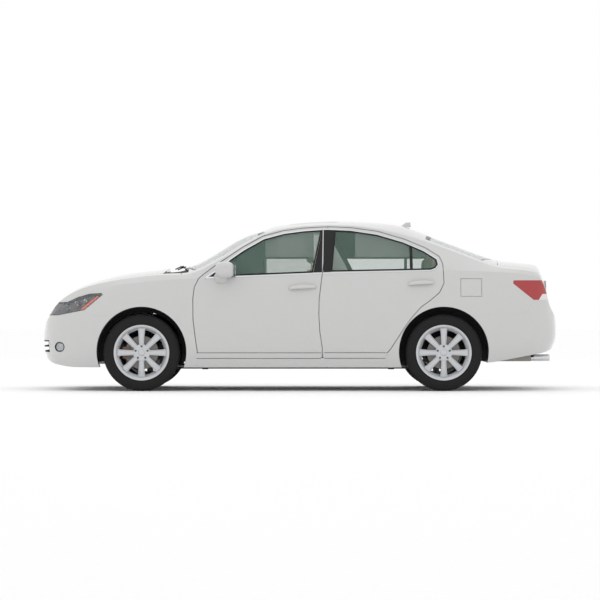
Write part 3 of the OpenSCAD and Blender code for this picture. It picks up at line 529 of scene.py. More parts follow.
def shade_like_body(piece, reach=26 * MM):
    """Faces that run with the body's outside get its smooth shading, and cut edges stay sharp.
    What lies deeper than the paint is marked, so that seams and insides take a dark grey as painted shade."""
    mesh = piece.data
    mesh.shade_smooth()
    known = [outside_normal(v.co) for v in mesh.vertices]
    directions = [Vector((0, 0, 1))] * len(mesh.loops)
    for face in mesh.polygons:
        for loop in face.loop_indices:
            normal, distance = known[mesh.loops[loop].vertex_index]
            turn = normal.dot(face.normal)
            if distance < reach and abs(turn) > 0.8:
                directions[loop] = normal if turn > 0 else -normal
            else:
                directions[loop] = face.normal.copy()
        deep = sum(known[v][1] for v in face.vertices) / len(face.vertices)
        # Slot 1 is painted shade: faces deeper than the paint are darkened to stand in for the shade in
        # seams and insides
        face.material_index = 1 if deep > SKIN_EDGE else 0
    mesh.normals_split_custom_set(directions)
    return piece


def mirrored(piece, name):
    """The same piece for the car's right side."""
    mesh = piece.data.copy()
    other = bpy.data.objects.new(name, mesh)
    bpy.context.scene.collection.objects.link(other)
    mesh.transform(Matrix.Scale(-1, 4, (0, 1, 0)))
    mesh.flip_normals()
    return other



def fit(piece, name, body, finish, slot, *nodes):
    """Names a piece, gives it its finish, ties it to its body and hides the CAD nodes it stands for."""
    piece.name = name
    piece.data.name = name
    piece.data.materials.clear()
    piece.data.materials.append(FINISHES[finish])
    # Painted panels take a second slot, a dark grey painted shade for their cut edges, seams and insides
    if finish == "white_paint":
        piece.data.materials.append(FINISHES["painted_shade"])
    else:
        piece.data.polygons.foreach_set("material_index", [0] * len(piece.data.polygons))
    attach(piece, body)
    if nodes:
        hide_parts(*nodes)
    return piece


def both_panels(piece, name, body, finish, slot, replaced=True):
    """Fits a left panel and its mirror image; name, body and node take left or right at their end."""
    right = mirrored(piece, name + "_right")
    for side, each in (("left", piece), ("right", right)):
        shade_like_body(each)
        whose = body if body == "root" else body + "_" + side
        fit(each, f"{name}_{side}_skin", whose, finish, slot, *([f"{name}_{side}"] if replaced else []))
    return piece, right


# ---- Body panels -----------------------------------------------------------------------------------

LID_DEPTH, FENDER_DEPTH, BUMPER_DEPTH, DOOR_DEPTH, FRAME_DEPTH, FLANGE = 26, 36, 30, 70, 30, 22
SEAT = 0.3


def arch_tools(y=(-2000, 2000)):
    return [round_tool(x, ARCH_Z, ARCH_RADIUS, y) for x in (FRONT_X, REAR_X)]


def top_tools(grow=0):
    return [down(plan, grow, (880, 1700)) for plan in (SHIELD_PLAN, BACK_PLAN, ROOF_PLAN)]


def lid_tools(grow):
    return [down(LID_PLAN, grow, (995 - grow, 1500)),
            block((1850, 2500), (-495 - grow, 495 + grow), (806 - grow, 1000))]


def make_hood():
    hood = within(skin(0, LID_DEPTH, -2325, -1000), down(HOOD_PLAN, -HALF_GAP),
                  block((-2400, -1000), (-900, 900), (797 + GAP, 1300)))
    without(hood, across(HEADLIGHT, HALF_GAP, (-2000, 2000)))
    fit(shade_like_body(hood), "hood_skin", "hood", "white_paint", "white_paint", "hood")


def make_roof():
    roof = within(skin(0, LID_DEPTH, -500, 1300), down(ROOF_PLAN, -SEAT),
                  block((-500, 1300), (-900, 900), (1200, 1700)))
    without(roof, down(SUNROOF_PLAN))
    fit(shade_like_body(roof), "roof_skin", "root", "white_paint", "white_paint", "roof")
    pane = within(skin(0, 5, -300, 600), down(SUNROOF_PLAN, -SEAT),
                  block((-500, 1300), (-900, 900), (1200, 1700)))
    fit(shade_like_body(pane), "sunroof_pane", "root", "dark_glass", "dark_glass", "sunroof_glass")


def make_fenders():
    fender = within(skin(0, FENDER_DEPTH, -2325, -700), across(FENDER, -SEAT))
    without(fender, down(HOOD_PLAN, HALF_GAP), down(COWL_PLAN), down(SHIELD_PLAN),
            across(FRONT_DOOR, HALF_GAP),
            across(FRONT_BUMPER), across(HEADLIGHT), round_tool(FRONT_X, ARCH_Z, ARCH_RADIUS),
            block((-1900, -800), (-760, 760), (0, 900)))
    both_panels(fender, "fender", "root", "white_paint", "white_paint")


def make_bumpers():
    front = within(skin(0, BUMPER_DEPTH, -2325, -1400), across(FRONT_BUMPER, -SEAT, (-2000, 2000)))
    fog_holes = [round_tool(-2153, 393, 46 * MM, side) for side in ((-2000, -660), (660, 2000))]
    without(front, round_tool(FRONT_X, ARCH_Z, ARCH_RADIUS, (-2000, 2000)),
            block((-2400, -2100), (-640, 640), (345, 452)), block((-2050, -1400), (-700, 700), (0, 900)),
            *fog_holes)
    fit(shade_like_body(front), "front_bumper_skin", "root", "white_paint", "white_paint", "front_bumper")
    rear = within(skin(0, BUMPER_DEPTH, 1300, 2325), across(REAR_BUMPER, -SEAT, (-2000, 2000)))
    without(rear, round_tool(REAR_X, ARCH_Z, ARCH_RADIUS, (-2000, 2000)),
            block((1300, 2120), (-740, 740), (0, 900)))
    fit(shade_like_body(rear), "rear_bumper_skin", "root", "white_paint", "white_paint", "rear_bumper")


def doorway(shape):
    """What a door fills: the side within its outline, down to its own depth."""
    return without(across(shape, HALF_GAP), body_form(DOOR_DEPTH + SEAT, FRAME_DEPTH + SEAT, -1300, 1700))


def make_body_sides():
    side = within(skin(0, (DOOR_DEPTH + FLANGE, FRAME_DEPTH + FLANGE), -1300, 2325),
                  block((-1120, 2400), (-1000, 0), (150, 1600)))
    clear_front = within(across(FRONT_DOOR, -FLANGE), block((-1100, 125), (-1000, 0), (0, 1600)))
    clear_rear = within(across(REAR_DOOR, -FLANGE), block((250, 1400), (-1000, 0), (0, 1600)))
    pillar = within(across(FRONT_DOOR, HALF_GAP), block((-1100, -200), (-1000, 0), (1080, 1600)))
    lamp = within(across(TAIL_LIGHT), block((1800, 2400), (-1000, -500), (0, 1600)))
    filler = without(across(FUEL_FLAP, HALF_GAP), body_form(8.3, 8.3, 1300, 1750))
    without(side, across(FENDER), doorway(FRONT_DOOR), doorway(REAR_DOOR), clear_front, clear_rear, pillar,
            across(REAR_BUMPER), lamp, filler, *lid_tools(HALF_GAP), *top_tools(),
            block((-1300, 2400), (-760, 760), (0, 804)), down(COWL_PLAN, 0, (880, 1700)),
            block((1780, 2190), (-640, 640), (700, 990)), *arch_tools((-2000, 0)))
    both_panels(side, "body_side", "root", "white_paint", "white_paint")
    flap = within(skin(0, 8, 1300, 1750), across(FUEL_FLAP, -HALF_GAP))
    fit(shade_like_body(flap), "fuel_flap_skin", "fuel_flap", "white_paint", "white_paint", "fuel_flap")


def make_doors():
    for place, shape, window, x in (("front", FRONT_DOOR, FRONT_WINDOW, (-1200, 500)),
                                    ("rear", REAR_DOOR, REAR_WINDOW, (0, 1500))):
        window_and_top = [across(window), *top_tools(HALF_GAP + 1)]
        outer = without(within(skin(0, 22, *x), across(shape, -HALF_GAP)), *window_and_top)
        window_and_top = [across(window), *top_tools(HALF_GAP + 1)]
        inner = within(skin(22.3, (DOOR_DEPTH, FRAME_DEPTH), *x), across(shape, -HALF_GAP - 8))
        door = merged([outer, without(inner, *window_and_top)], "door")
        both_panels(door, "door_" + place, "door_" + place, "white_paint", "white_paint")


def make_trunk_lid():
    lid = within(skin(0, LID_DEPTH, 1600, 2325), down(LID_PLAN, -HALF_GAP))
    corners = [block((1500, 2500), side, (0, 998)) for side in ((-2000, -492), (492, 2000))]
    without(lid, block((1500, 2500), (-2000, 2000), (0, 809)),
            block((1500, 1850), (-2000, 2000), (0, 998)), *corners)
    fit(shade_like_body(lid), "trunk_lid_skin", "trunk_lid", "white_paint", "white_paint", "trunk_lid")


# ---- Small shapes ----------------------------------------------------------------------------------


def lathe(name, profile, centre, out=-1, steps=120, closed=True):
    """A turned piece on an axle: profile is (radius, distance outwards) in metres, out the way along Y."""
    rings = []
    for k in range(steps):
        turn = 2 * math.pi * k / steps
        rings.append([centre + Vector((math.cos(turn) * r, out * y, math.sin(turn) * r)) for r,
                      y in profile])
    count = len(profile)
    last = count if closed else count - 1
    verts = [p for r in rings for p in r]
    faces = [(i * count + k, i * count + (k + 1) % count, ((i + 1) % steps) * count + (k + 1) % count,
              ((i + 1) % steps) * count + k) for i in range(steps) for k in range(last)]
    piece = face_outwards(new_piece(name, verts, faces))
    return smooth(piece)


def smooth(piece, angle=35):
    piece.data.shade_smooth()
    piece.data.set_sharp_from_angle(angle=math.radians(angle))
    return piece


def tube(name, points, radius, steps=12):
    """A round bar of one thickness along a list of points; radius may be (wide, high)."""
    wide, high = radius if isinstance(radius, tuple) else (radius, radius)
    points = [Vector(p) for p in points]
    rings = []
    for k, p in enumerate(points):
        ahead = (points[min(k + 1, len(points) - 1)] - points[max(k - 1, 0)]).normalized()
        side = ahead.cross(Vector((0, 0, 1)))
        side = side.normalized() if side.length > 0.05 else Vector((0, 1, 0))
        over = side.cross(ahead).normalized()
        rings.append([p + side * math.cos(t) * wide + over * math.sin(t) * high
                      for t in (2 * math.pi * j / steps for j in range(steps))])
    return smooth(loft(name, rings))


def bowed(points, count=24):
    """Points of a smooth curve through a few given ones."""
    made = []
    span = len(points) - 1
    for k in range(count + 1):
        s = k / count * span
        i = min(int(s), span - 1)
        t = s - i
        p0, p1, p2, p3 = (Vector(points[max(0, min(span, j))]) for j in (i - 1, i, i + 1, i + 2))
        made.append(0.5 * (2 * p1 + (p2 - p0) * t + (2 * p0 - 5 * p1 + 4 * p2 - p3) * t * t
                           + (3 * p1 - p0 - 3 * p2 + p3) * t ** 3))
    return made


def softened(piece, width, segments=3, angle=40):
    """Rounds the edges of a piece and gives it smooth faces between them."""
    bevel = piece.modifiers.new("edges", "BEVEL")
    bevel.width = width
    bevel.segments = segments
    bevel.limit_method = "ANGLE"
    bevel.angle_limit = math.radians(angle)
    done = bpy.data.meshes.new_from_object(piece.evaluated_get(bpy.context.evaluated_depsgraph_get()))
    piece.modifiers.clear()
    piece.data = done
    return smooth(piece)


def box_piece(name, low, high, edge=0.004):
    """A rounded block between two corners in metres."""
    x, y, z = zip(low, high)
    verts = [(a, b, c) for c in z for b in y for a in x]
    faces = [(0, 2, 3, 1), (4, 5, 7, 6), (0, 1, 5, 4), (2, 6, 7, 3), (0, 4, 6, 2), (1, 3, 7, 5)]
    return softened(new_piece(name, verts, faces), edge)


def merged(pieces, name):
    """Several meshes as one piece."""
    work = bmesh.new()
    for piece in pieces:
        work.from_mesh(piece.data)
    mesh = bpy.data.meshes.new(name)
    work.to_mesh(mesh)
    work.free()
    for piece in pieces:
        remove(piece)
    made = bpy.data.objects.new(name, mesh)
    bpy.context.scene.collection.objects.link(made)
    return smooth(made)


def on_side(x, z, out=0):
    """The point of the car's left outside at a side-view place, moved outwards in millimetres."""
    spot = OUTSIDE_TREE.ray_cast(at(x, -1200, z), Vector((0, 1, 0)))[0]
    if spot is None:
        spot = OUTSIDE_TREE.find_nearest(at(x, -800, z))[0]
    return spot + outside_normal(spot)[0] * out * MM


def pair(piece, name, body, finish_name, slot_name):
    """A small piece and its mirror image on the car's right side."""
    right = mirrored(piece, name)
    for side, each in (("left", piece), ("right", right)):
        whose = body if body == "root" else body + "_" + side
        fit(each, f"{name}_{side}", whose, finish_name, slot_name)


# ---- Glass, its trim and the lamps -----------------------------------------------------------------


def make_glass():
    for name, plan, x in (("windshield", SHIELD_PLAN, (-1200, -200)),
                          ("rear_window", BACK_PLAN, (1000, 1900))):
        pane = within(skin(6, 11, *x), down(plan, -SEAT), block(x, (-900, 900), (950, 1700)))
        fit(shade_like_body(pane), name + "_pane", "root", "tinted_glass", "tinted_glass", name)
        border = within(skin(11.2, 12.4, *x), down(plan, -SEAT), block(x, (-900, 900), (950, 1700)))
        without(border, down(plan, -38))
        fit(shade_like_body(border), name + "_border", "root", "glass_border", "tinted_glass")
    for name, shape, x in (("glass_front", FRONT_WINDOW, (-1200, 500)),
                           ("glass_rear", REAR_WINDOW, (0, 1500))):
        pane = within(skin(6, 11, *x), across(shape, -SEAT))
        right = mirrored(pane, "right")
        for side, each in (("left", pane), ("right", right)):
            body = name.replace("glass", "door") + "_" + side
            fit(shade_like_body(each), f"{name}_{side}_pane", body, "tinted_glass", "tinted_glass",
                f"{name}_{side}")


WINDOW_LINE = [(-849, 1011), (-700, 1108), (-623, 1181), (-503, 1264), (-324, 1365), (-144, 1414),
               (35, 1438),
               (256, 1452), (453, 1443), (692, 1407), (932, 1336), (1111, 1258), (1231, 1181), (1242, 1132),
               (1218, 1097)]


def strip(outline, depth, out):
    """A thin strip of the body's own surface that stands a little proud of it."""
    xs = [point[0] for point in outline]
    raised = body_form(-out, -out, min(xs) - 30, max(xs) + 30)
    form = without(raised, body_form(depth, depth, min(xs) - 80, max(xs) + 80))
    return shade_like_body(within(form, across(outline)), 3 * MM)


def line_band(points, wide):
    """A band of one width along a line seen from the side."""
    left, right = [], []
    for k, (x, z) in enumerate(points):
        x0, z0 = points[max(0, k - 1)]
        x1, z1 = points[min(len(points) - 1, k + 1)]
        long = math.hypot(x1 - x0, z1 - z0)
        nx, nz = -(z1 - z0) / long * wide / 2, (x1 - x0) / long * wide / 2
        left.append((x + nx, z + nz))
        right.append((x - nx, z - nz))
    return left + right[::-1]


def make_window_trim():
    split = 205
    front = [p for p in WINDOW_LINE if p[0] < split] + [(split - 4, 1450)]
    rear = [(split + 4, 1450)] + [p for p in WINDOW_LINE if p[0] > split]
    for place, line in (("front", front), ("rear", rear)):
        pair(strip(line_band(line, 11), 3, 2.5), f"window_trim_{place}", "door_" + place, "chrome",
             "alloy_wheel")
    belt_front = [(-849, 1011), (-563, 1024), (154, 1050), (196, 1051)]
    belt_rear = [(208, 1052), (573, 1064), (1000, 1073), (1171, 1078), (1218, 1095)]
    for place, line in (("front", belt_front), ("rear", belt_rear)):
        pair(strip(line_band(line, 12), 3, 2.5), f"belt_trim_{place}", "door_" + place, "chrome",
             "alloy_wheel")


def make_pillar_covers():
    """The black covers of the middle pillar, the quarter window's bar and the mirror's corner."""
    front_post = [(120, 1060), (199, 1062), (207, 1443), (203, 1446)]
    pair(strip(front_post, 3, 0.8), "post_cover_front", "door_front", "black_plastic", "black_plastic")
    rear_post = [(209, 1062), (277, 1064), (312, 1446), (215, 1447)]
    pair(strip(rear_post, 3, 0.8), "post_cover_rear", "door_rear", "black_plastic", "black_plastic")
    bar = [(985, 1083), (1012, 1084), (1009, 1303), (984, 1313)]
    pair(strip(bar, 14, -4), "quarter_bar", "door_rear", "black_plastic", "black_plastic")
    corner = [(-810, 1022), (-600, 1028), (-660, 1140), (-700, 1106)]
    pair(strip(corner, 6, 0.8), "mirror_corner", "door_front", "black_plastic", "black_plastic")
    for place, seal in (("front", line_band([(-800, 1028), (-563, 1033), (118, 1060)], 16)),
                        ("rear", line_band([(276, 1068), (573, 1075), (1171, 1087)], 16))):
        pair(strip(seal, 8, -3), f"window_seal_{place}", "door_" + place, "black_plastic", "black_plastic")
    for place, shape, body in (("front", FRONT_WINDOW, "door_front"), ("rear", REAR_WINDOW, "door_rear")):
        xs = [point[0] for point in shape]
        edge = without(within(skin(3, 12, min(xs) - 40, max(xs) + 40), across(shape, -0.5)),
                       across(shape, -14))
        pair(shade_like_body(edge), f"window_rubber_{place}", body, "black_plastic", "black_plastic")


def make_headlights():
    lens = within(skin(0.6, 4, -2325, -1600), across(HEADLIGHT, -SEAT),
                  block((-2400, -1600), (-1000, -490), (600, 1000)))
    right = mirrored(lens, "right")
    fit(shade_like_body(lens), "headlight_cover_left", "root", "headlight_lens", "headlight_lens",
        "headlights")
    fit(shade_like_body(right), "headlight_cover_right", "root", "headlight_lens", "headlight_lens")
    bowl = within(skin(34, 58, -2325, -1600), across(HEADLIGHT, -4),
                  block((-2400, -1600), (-1000, -494), (600, 1000)))
    pair(shade_like_body(bowl, 70 * MM), "headlight_bowl", "root", "lamp_bezel", "headlight_lens")
    rim = without(within(skin(4, 40, -2325, -1600), across(HEADLIGHT, -1),
                         block((-2400, -1600), (-1000, -491), (600, 1000))),
                  across(HEADLIGHT, -9))
    pair(shade_like_body(rim, 50 * MM), "headlight_rim", "root", "lamp_bezel", "headlight_lens")
    signal = [(-1958, 733), (-1930, 727), (-1790, 842), (-1812, 850)]
    lamp = within(skin(4.5, 12, -2325, -1600), across(signal))
    pair(shade_like_body(lamp, 40 * MM), "turn_signal", "root", "orange_lens", "headlight_lens")
    for name, x, z, radius in (("main_lamp", -2105, 742, 40), ("high_lamp", -2010, 775, 36),
                               ("side_lamp", -1925, 812, 24)):
        spot = on_side(x, z)
        way = (outside_normal(spot)[0] + Vector((-0.5, 0, 0))).normalized()
        profile = [(radius * MM * s, -0.006 - 0.030 * (1 - s * s)) for s in (0.02, 0.2, 0.4, 0.6, 0.8, 1)]
        bulb = [(0.001, -0.014), (0.008, -0.016), (0.010, -0.022), (0.001, -0.034)]
        back = [(radius * MM, -0.040), (0.001, -0.042)]
        turned = merged([lathe("bowl", profile + back, Vector(), 1, 48),
                         lathe("bulb", bulb, Vector(), 1, 24)], name)
        turn = Vector((0, 1, 0)).rotation_difference(way)
        turned.data.transform(Matrix.Translation(spot - way * 0.006) @ turn.to_matrix().to_4x4())
        pair(turned, name, "root", "reflector", "headlight_lens")


def make_tail_lights():
    lens = within(skin(0.6, 12, 1800, 2325), across(TAIL_LIGHT, -SEAT),
                  block((1800, 2400), (-1000, -501), (600, 1100)))
    clear = [(2130, 800), (2400, 800), (2400, 868), (2175, 868)]
    patch = within(skin(0.3, 12.3, 1800, 2325), across(TAIL_LIGHT, -SEAT), across(clear),
                   block((1800, 2400), (-1000, -503), (600, 1100)))
    without(lens, across(clear))
    right = mirrored(lens, "right")
    fit(shade_like_body(lens), "tail_light_cover_left", "root", "tail_light_lens", "tail_light_lens",
        "tail_lights")
    fit(shade_like_body(right), "tail_light_cover_right", "root", "tail_light_lens", "tail_light_lens")
    pair(shade_like_body(patch), "reversing_lamp", "root", "clear_lens", "tail_light_lens")


def make_fog_lamps():
    normal = outside_normal(on_side(-2153, 393))[0]
    flat = Vector((normal.x, normal.y, 0)).normalized()
    surface = on_side(-2153, 393)
    profile = [(0.001, -0.02), (0.03, -0.016), (0.04, -0.006), (0.043, 0.001), (0.043, -0.028),
               (0.001, -0.03)]
    lamp = lathe("fog_lamp", profile, Vector(), 1, 48)
    turn = Vector((0, 1, 0)).rotation_difference(flat)
    lamp.data.transform(Matrix.Translation(surface - flat * 0.004) @ turn.to_matrix().to_4x4())
    pair(lamp, "fog_lamp", "root", "reflector", "headlight_lens")


# ---- Wheels ----------------------------------------------------------------------------------------

RIM = 0.249
TREAD_STEPS = 288


def make_tyre(centre, out, name):
    """A tyre with three grooves round its tread, cross cuts on its shoulders and a rounded side wall."""
    half = tyre_width / 2
    outer = [(RIM - 0.020, half - 0.021), (RIM - 0.002, half - 0.0118), (RIM + 0.003, half - 0.011),
             (RIM + 0.012, half - 0.005), (RIM + 0.03, half - 0.0015), (RIM + 0.047, half),
             (RIM + 0.062, half - 0.001), (tyre_radius - 0.020, half - 0.0075),
             (tyre_radius - 0.012, half - 0.0125),
             (tyre_radius - 0.005, half - 0.020), (tyre_radius - 0.0015, half - 0.030)]
    grooves = []
    for y in (0.058, 0.0, -0.058):
        grooves += [(tyre_radius - 0.0005, y + 0.006), (tyre_radius - 0.008, y + 0.005),
                    (tyre_radius - 0.008, y - 0.005), (tyre_radius - 0.0005, y - 0.006)]
    tread = [(tyre_radius, half - 0.042)] + grooves + [(tyre_radius, 0.042 - half)]
    profile = outer + tread + [(r, -y) for r, y in outer[::-1]]
    shoulders = [k for k, (r, y) in enumerate(profile) if r > tyre_radius - 0.014 and abs(y) > 0.064]
    rings = []
    for step in range(TREAD_STEPS):
        turn = 2 * math.pi * step / TREAD_STEPS
        ring_points = []
        for k, (r, y) in enumerate(profile):
            cut = 0.005 if k in shoulders and step % 4 == 0 else 0
            ring_points.append(centre + Vector((math.cos(turn) * (r - cut), out * y,
                                                math.sin(turn) * (r - cut))))
        rings.append(ring_points)
    count = len(profile)
    verts = [p for r in rings for p in r]
    faces = [(i * count + k, i * count + (k + 1) % count, ((i + 1) % TREAD_STEPS) * count + (k + 1) % count,
              ((i + 1) % TREAD_STEPS) * count + k) for i in range(TREAD_STEPS) for k in range(count)]
    return smooth(face_outwards(new_piece(name, verts, faces)), 30)


def make_spoke(turn):
    """One spoke: wide and flat-faced, with a raised edge on each side, dished towards the hub."""
    rings = []
    for share in (0, 0.12, 0.3, 0.5, 0.7, 0.86, 1.0):
        radius = 0.052 + share * (RIM - 0.030 - 0.052)
        half = (21 + 9 * share + 4 * max(0, share - 0.8) / 0.2) * MM
        face = (0.0800 + 0.0130 * math.sin(math.pi * min(1, share * 1.05)) + 0.004 * share)
        section = [(-half, face - 0.034), (-half - 0.001, face - 0.006), (-half + 0.001, face),
                   (-half + 0.0055, face + 0.001),
                   (-half + 0.009, face - 0.006), (half - 0.009, face - 0.006),
                   (half - 0.0055, face + 0.001),
                   (half - 0.001, face), (half + 0.001, face - 0.006), (half, face - 0.034)]
        rings.append([Vector((math.cos(turn) * radius - math.sin(turn) * w, d,
                              math.sin(turn) * radius + math.cos(turn) * w))
                      for w, d in section])
    return loft("spoke", rings)


def make_rim(centre, out, name):
    """The wheel: an outer lip, a barrel, eight spokes and a turned hub."""
    rim_half = 0.1005
    lip = [(RIM - 0.001, 0.1055), (RIM, 0.1015), (RIM - 0.017, 0.1008), (RIM - 0.021, 0.092),
           (RIM - 0.021, 0.060),
           (RIM - 0.044, 0.045), (RIM - 0.044, -0.070), (RIM - 0.021, -0.092), (RIM - 0.021, -rim_half),
           (RIM - 0.005, -rim_half), (RIM - 0.005, -0.1055), (RIM - 0.025, -0.103), (RIM - 0.048, -0.074),
           (RIM - 0.048, 0.048), (RIM - 0.027, 0.066), (RIM - 0.027, 0.090), (RIM - 0.018, 0.0985),
           (RIM - 0.008, 0.1055)]
    parts = [lathe("lip", lip, Vector(), 1, 144)]
    for k in range(8):
        parts.append(make_spoke(math.radians(90 + 45 * k)))
    hub = [(0.0, 0.0655), (0.030, 0.0655), (0.030, 0.0795), (0.036, 0.0815), (0.046, 0.0800),
           (0.066, 0.0835),
           (0.076, 0.0790), (0.077, 0.050), (0.0, 0.048)]
    parts.append(lathe("hub", hub, Vector(), 1, 96))
    for part in parts:
        part.data.transform(Matrix.Translation(centre) @ Matrix.Scale(out, 4, (0, 1, 0)))
        if out < 0:
            part.data.flip_normals()
    return merged(parts, name)


def make_hub_details(centre, out, name):
    """Five wheel nuts, the first one at the top, and a domed cap in the middle."""
    nuts = []
    for k in range(5):
        turn = math.radians(90 + 72 * k)
        spot = centre + Vector((math.cos(turn) * 0.05715, 0, math.sin(turn) * 0.05715))
        nut = [(0.0, 0.0895), (0.006, 0.0890), (0.0095, 0.0865), (0.0100, 0.0820), (0.0115, 0.0800),
               (0.0115, 0.0760),
               (0.0, 0.0760)]
        nuts.append(lathe("nut", nut, spot, out, 12))
    cap = [(0.0, 0.0865), (0.014, 0.0858), (0.024, 0.0835), (0.0285, 0.0800), (0.0285, 0.0660),
           (0.0, 0.0660)]
    return merged(nuts, name + "_nuts"), lathe(name + "_cap", cap, centre, out, 72)


def make_wheels():
    for place in ("front", "rear"):
        for side, out in (("left", -1), ("right", 1)):
            where = f"{place}_{side}"
            centre = middle("tyre_" + where)
            body = "wheel_" + where
            fit(make_tyre(centre, out, "tyre"), f"tyre_{where}_tread", body, "tyre", "tyre",
                "tyre_" + where)
            fit(make_rim(centre, out, "rim"), f"rim_{where}", body, "alloy_wheel", "alloy_wheel",
                "wheel_" + where)
            nuts, cap = make_hub_details(centre, out, where)
            fit(nuts, f"wheel_nuts_{where}", body, "nut_steel", "alloy_wheel")
            fit(cap, f"wheel_cap_{where}", body, "alloy_wheel", "alloy_wheel")
            disc = [(0.060, 0.042), (0.148, 0.042), (0.150, 0.040), (0.150, 0.034), (0.120, 0.033),
                    (0.120, 0.029),
                    (0.150, 0.028), (0.150, 0.022), (0.148, 0.020), (0.060, 0.020)]
            fit(lathe("disc", disc, centre, out, 96), f"brake_disc_{where}", body, "disc_iron",
                "chassis_steel")


# ---- Underneath and inside -------------------------------------------------------------------------

CAD_FINISHES = {
    "underbody": "underbody_coating", "trunk_pan": "underbody_coating", "cowl": "black_plastic",
    "grille": "black_plastic", "engine": "cast_engine", "dashboard": "soft_trim", "rear_shelf": "beige_trim",
    "exhaust": "exhaust_steel", "front_subframe": "chassis_steel", "rear_axle": "chassis_steel",
    "knuckle_left": "rusty_iron", "knuckle_right": "rusty_iron"}


def finish_cad_pieces():
    for node, finish_name in CAD_FINISHES.items():
        piece = frame["nodes"].get(node)
        if piece is None:
            continue
        piece.data.materials.clear()
        piece.data.materials.append(FINISHES[finish_name])


# Inner edge of the wall behind an arch, clear of the steered tyre
LINER_WALL_RADIUS = tyre_radius + 14 * MM


def make_arch_liners():
    """Black plastic liners between the arches and the wheel houses."""
    for place, x in (("front", FRONT_X), ("rear", REAR_X)):
        centre = at(x, 0, ARCH_Z)
        radius = ARCH_RADIUS - 0.001
        points = []
        for k in range(49):
            turn = math.radians(-14 + 208 * k / 48)
            points.append((math.cos(turn) * radius, math.sin(turn) * radius))
        rings = []
        for a, b in points:
            rings.append([centre + Vector((a * s, y, b * s)) for s, y in
                          ((1, -0.835), (1, -0.69), (0.992, -0.69), (0.992, -0.835))])
        liner = smooth(loft("liner", rings))
        pair(liner, f"arch_liner_{place}", "root", "black_plastic", "black_plastic")
        scale = LINER_WALL_RADIUS / radius
        walls = [[centre + Vector((a * s, y, b * s)) for s, y in
                  ((1, -0.606), (1, -0.602), (scale, -0.602), (scale, -0.606))] for a, b in points]
        pair(smooth(loft("wall", walls)), f"arch_wall_{place}", "root", "black_plastic", "black_plastic")


def crowned_cushion(name, outline, y, crown, body="root", finish_name="beige_leather",
                    slot_name="beige_leather", replaces=()):
    """A padded block with the outline of a side view, between two sides, swollen like stuffed leather."""
    piece = prism([[at(x, side, z) for x, z in outline] for side in y])
    remesh = piece.modifiers.new("even", "REMESH")
    remesh.mode = "VOXEL"
    remesh.voxel_size = 0.012
    even = bpy.data.meshes.new_from_object(piece.evaluated_get(bpy.context.evaluated_depsgraph_get()))
    piece.modifiers.clear()
    piece.data = even
    swell(piece, crown)
    rounding = piece.modifiers.new("soft", "SMOOTH")
    rounding.iterations = 10
    finer = piece.modifiers.new("finer", "SUBSURF")
    finer.levels = 1
    done = bpy.data.meshes.new_from_object(piece.evaluated_get(bpy.context.evaluated_depsgraph_get()))
    piece.modifiers.clear()
    piece.data = done
    piece.data.shade_smooth()
    fit(piece, name, body, finish_name, slot_name, *replaces)
    return piece


def swell(piece, crown):
    """Blows a cushion up with air pressure, as its filling does, and keeps each point near its place."""
    before = [v.co.copy() for v in piece.data.vertices]
    cloth = piece.modifiers.new("stuffing", "CLOTH")
    cloth.settings.use_pressure = True
    cloth.settings.uniform_pressure_force = 4
    cloth.settings.effector_weights.gravity = 0
    cloth.point_cache.frame_start = 1
    cloth.point_cache.frame_end = 20
    scene = bpy.context.scene
    for step in range(1, 21):
        scene.frame_set(step)
    swollen = bpy.data.meshes.new_from_object(piece.evaluated_get(bpy.context.evaluated_depsgraph_get()))
    piece.modifiers.clear()
    piece.data = swollen
    for vertex, start in zip(piece.data.vertices, before):
        moved = vertex.co - start
        if moved.length > crown:
            vertex.co = start + moved.normalized() * crown
    scene.frame_set(1)


FRONT_CUSHION = [(-462, 430), (-474, 515), (-440, 566), (-380, 578), (-180, 560), (0, 541), (50, 470),
                 (34, 430)]
FRONT_BACK = [(-28, 478), (-24, 560), (22, 780), (78, 1096), (97, 1116), (138, 1116), (150, 1088),
              (118, 760), (76, 478)]
FRONT_HEADREST = [(70, 1158), (65, 1230), (68, 1286), (86, 1317), (122, 1317), (141, 1286), (142, 1230),
                  (138, 1158)]
REAR_CUSHION = [(568, 430), (560, 520), (580, 578), (640, 588), (860, 562), (872, 430)]
REAR_BACK = [(1046, 776), (1082, 905), (1120, 1036), (1216, 1038), (1190, 905), (1156, 776)]
REAR_BACK_LOW = [(990, 470), (990, 560), (1042, 764), (1152, 764), (1118, 600), (1090, 470)]
REAR_HEADREST = [(1134, 1048), (1147, 1186), (1181, 1209), (1210, 1186), (1201, 1048)]


def seam(name, points, body, radius=0.0022):
    """A raised double-stitched seam along a cushion."""
    piece = tube("seam", bowed(points, 20), radius, 6)
    fit(piece, name, body, "beige_trim", "beige_leather")


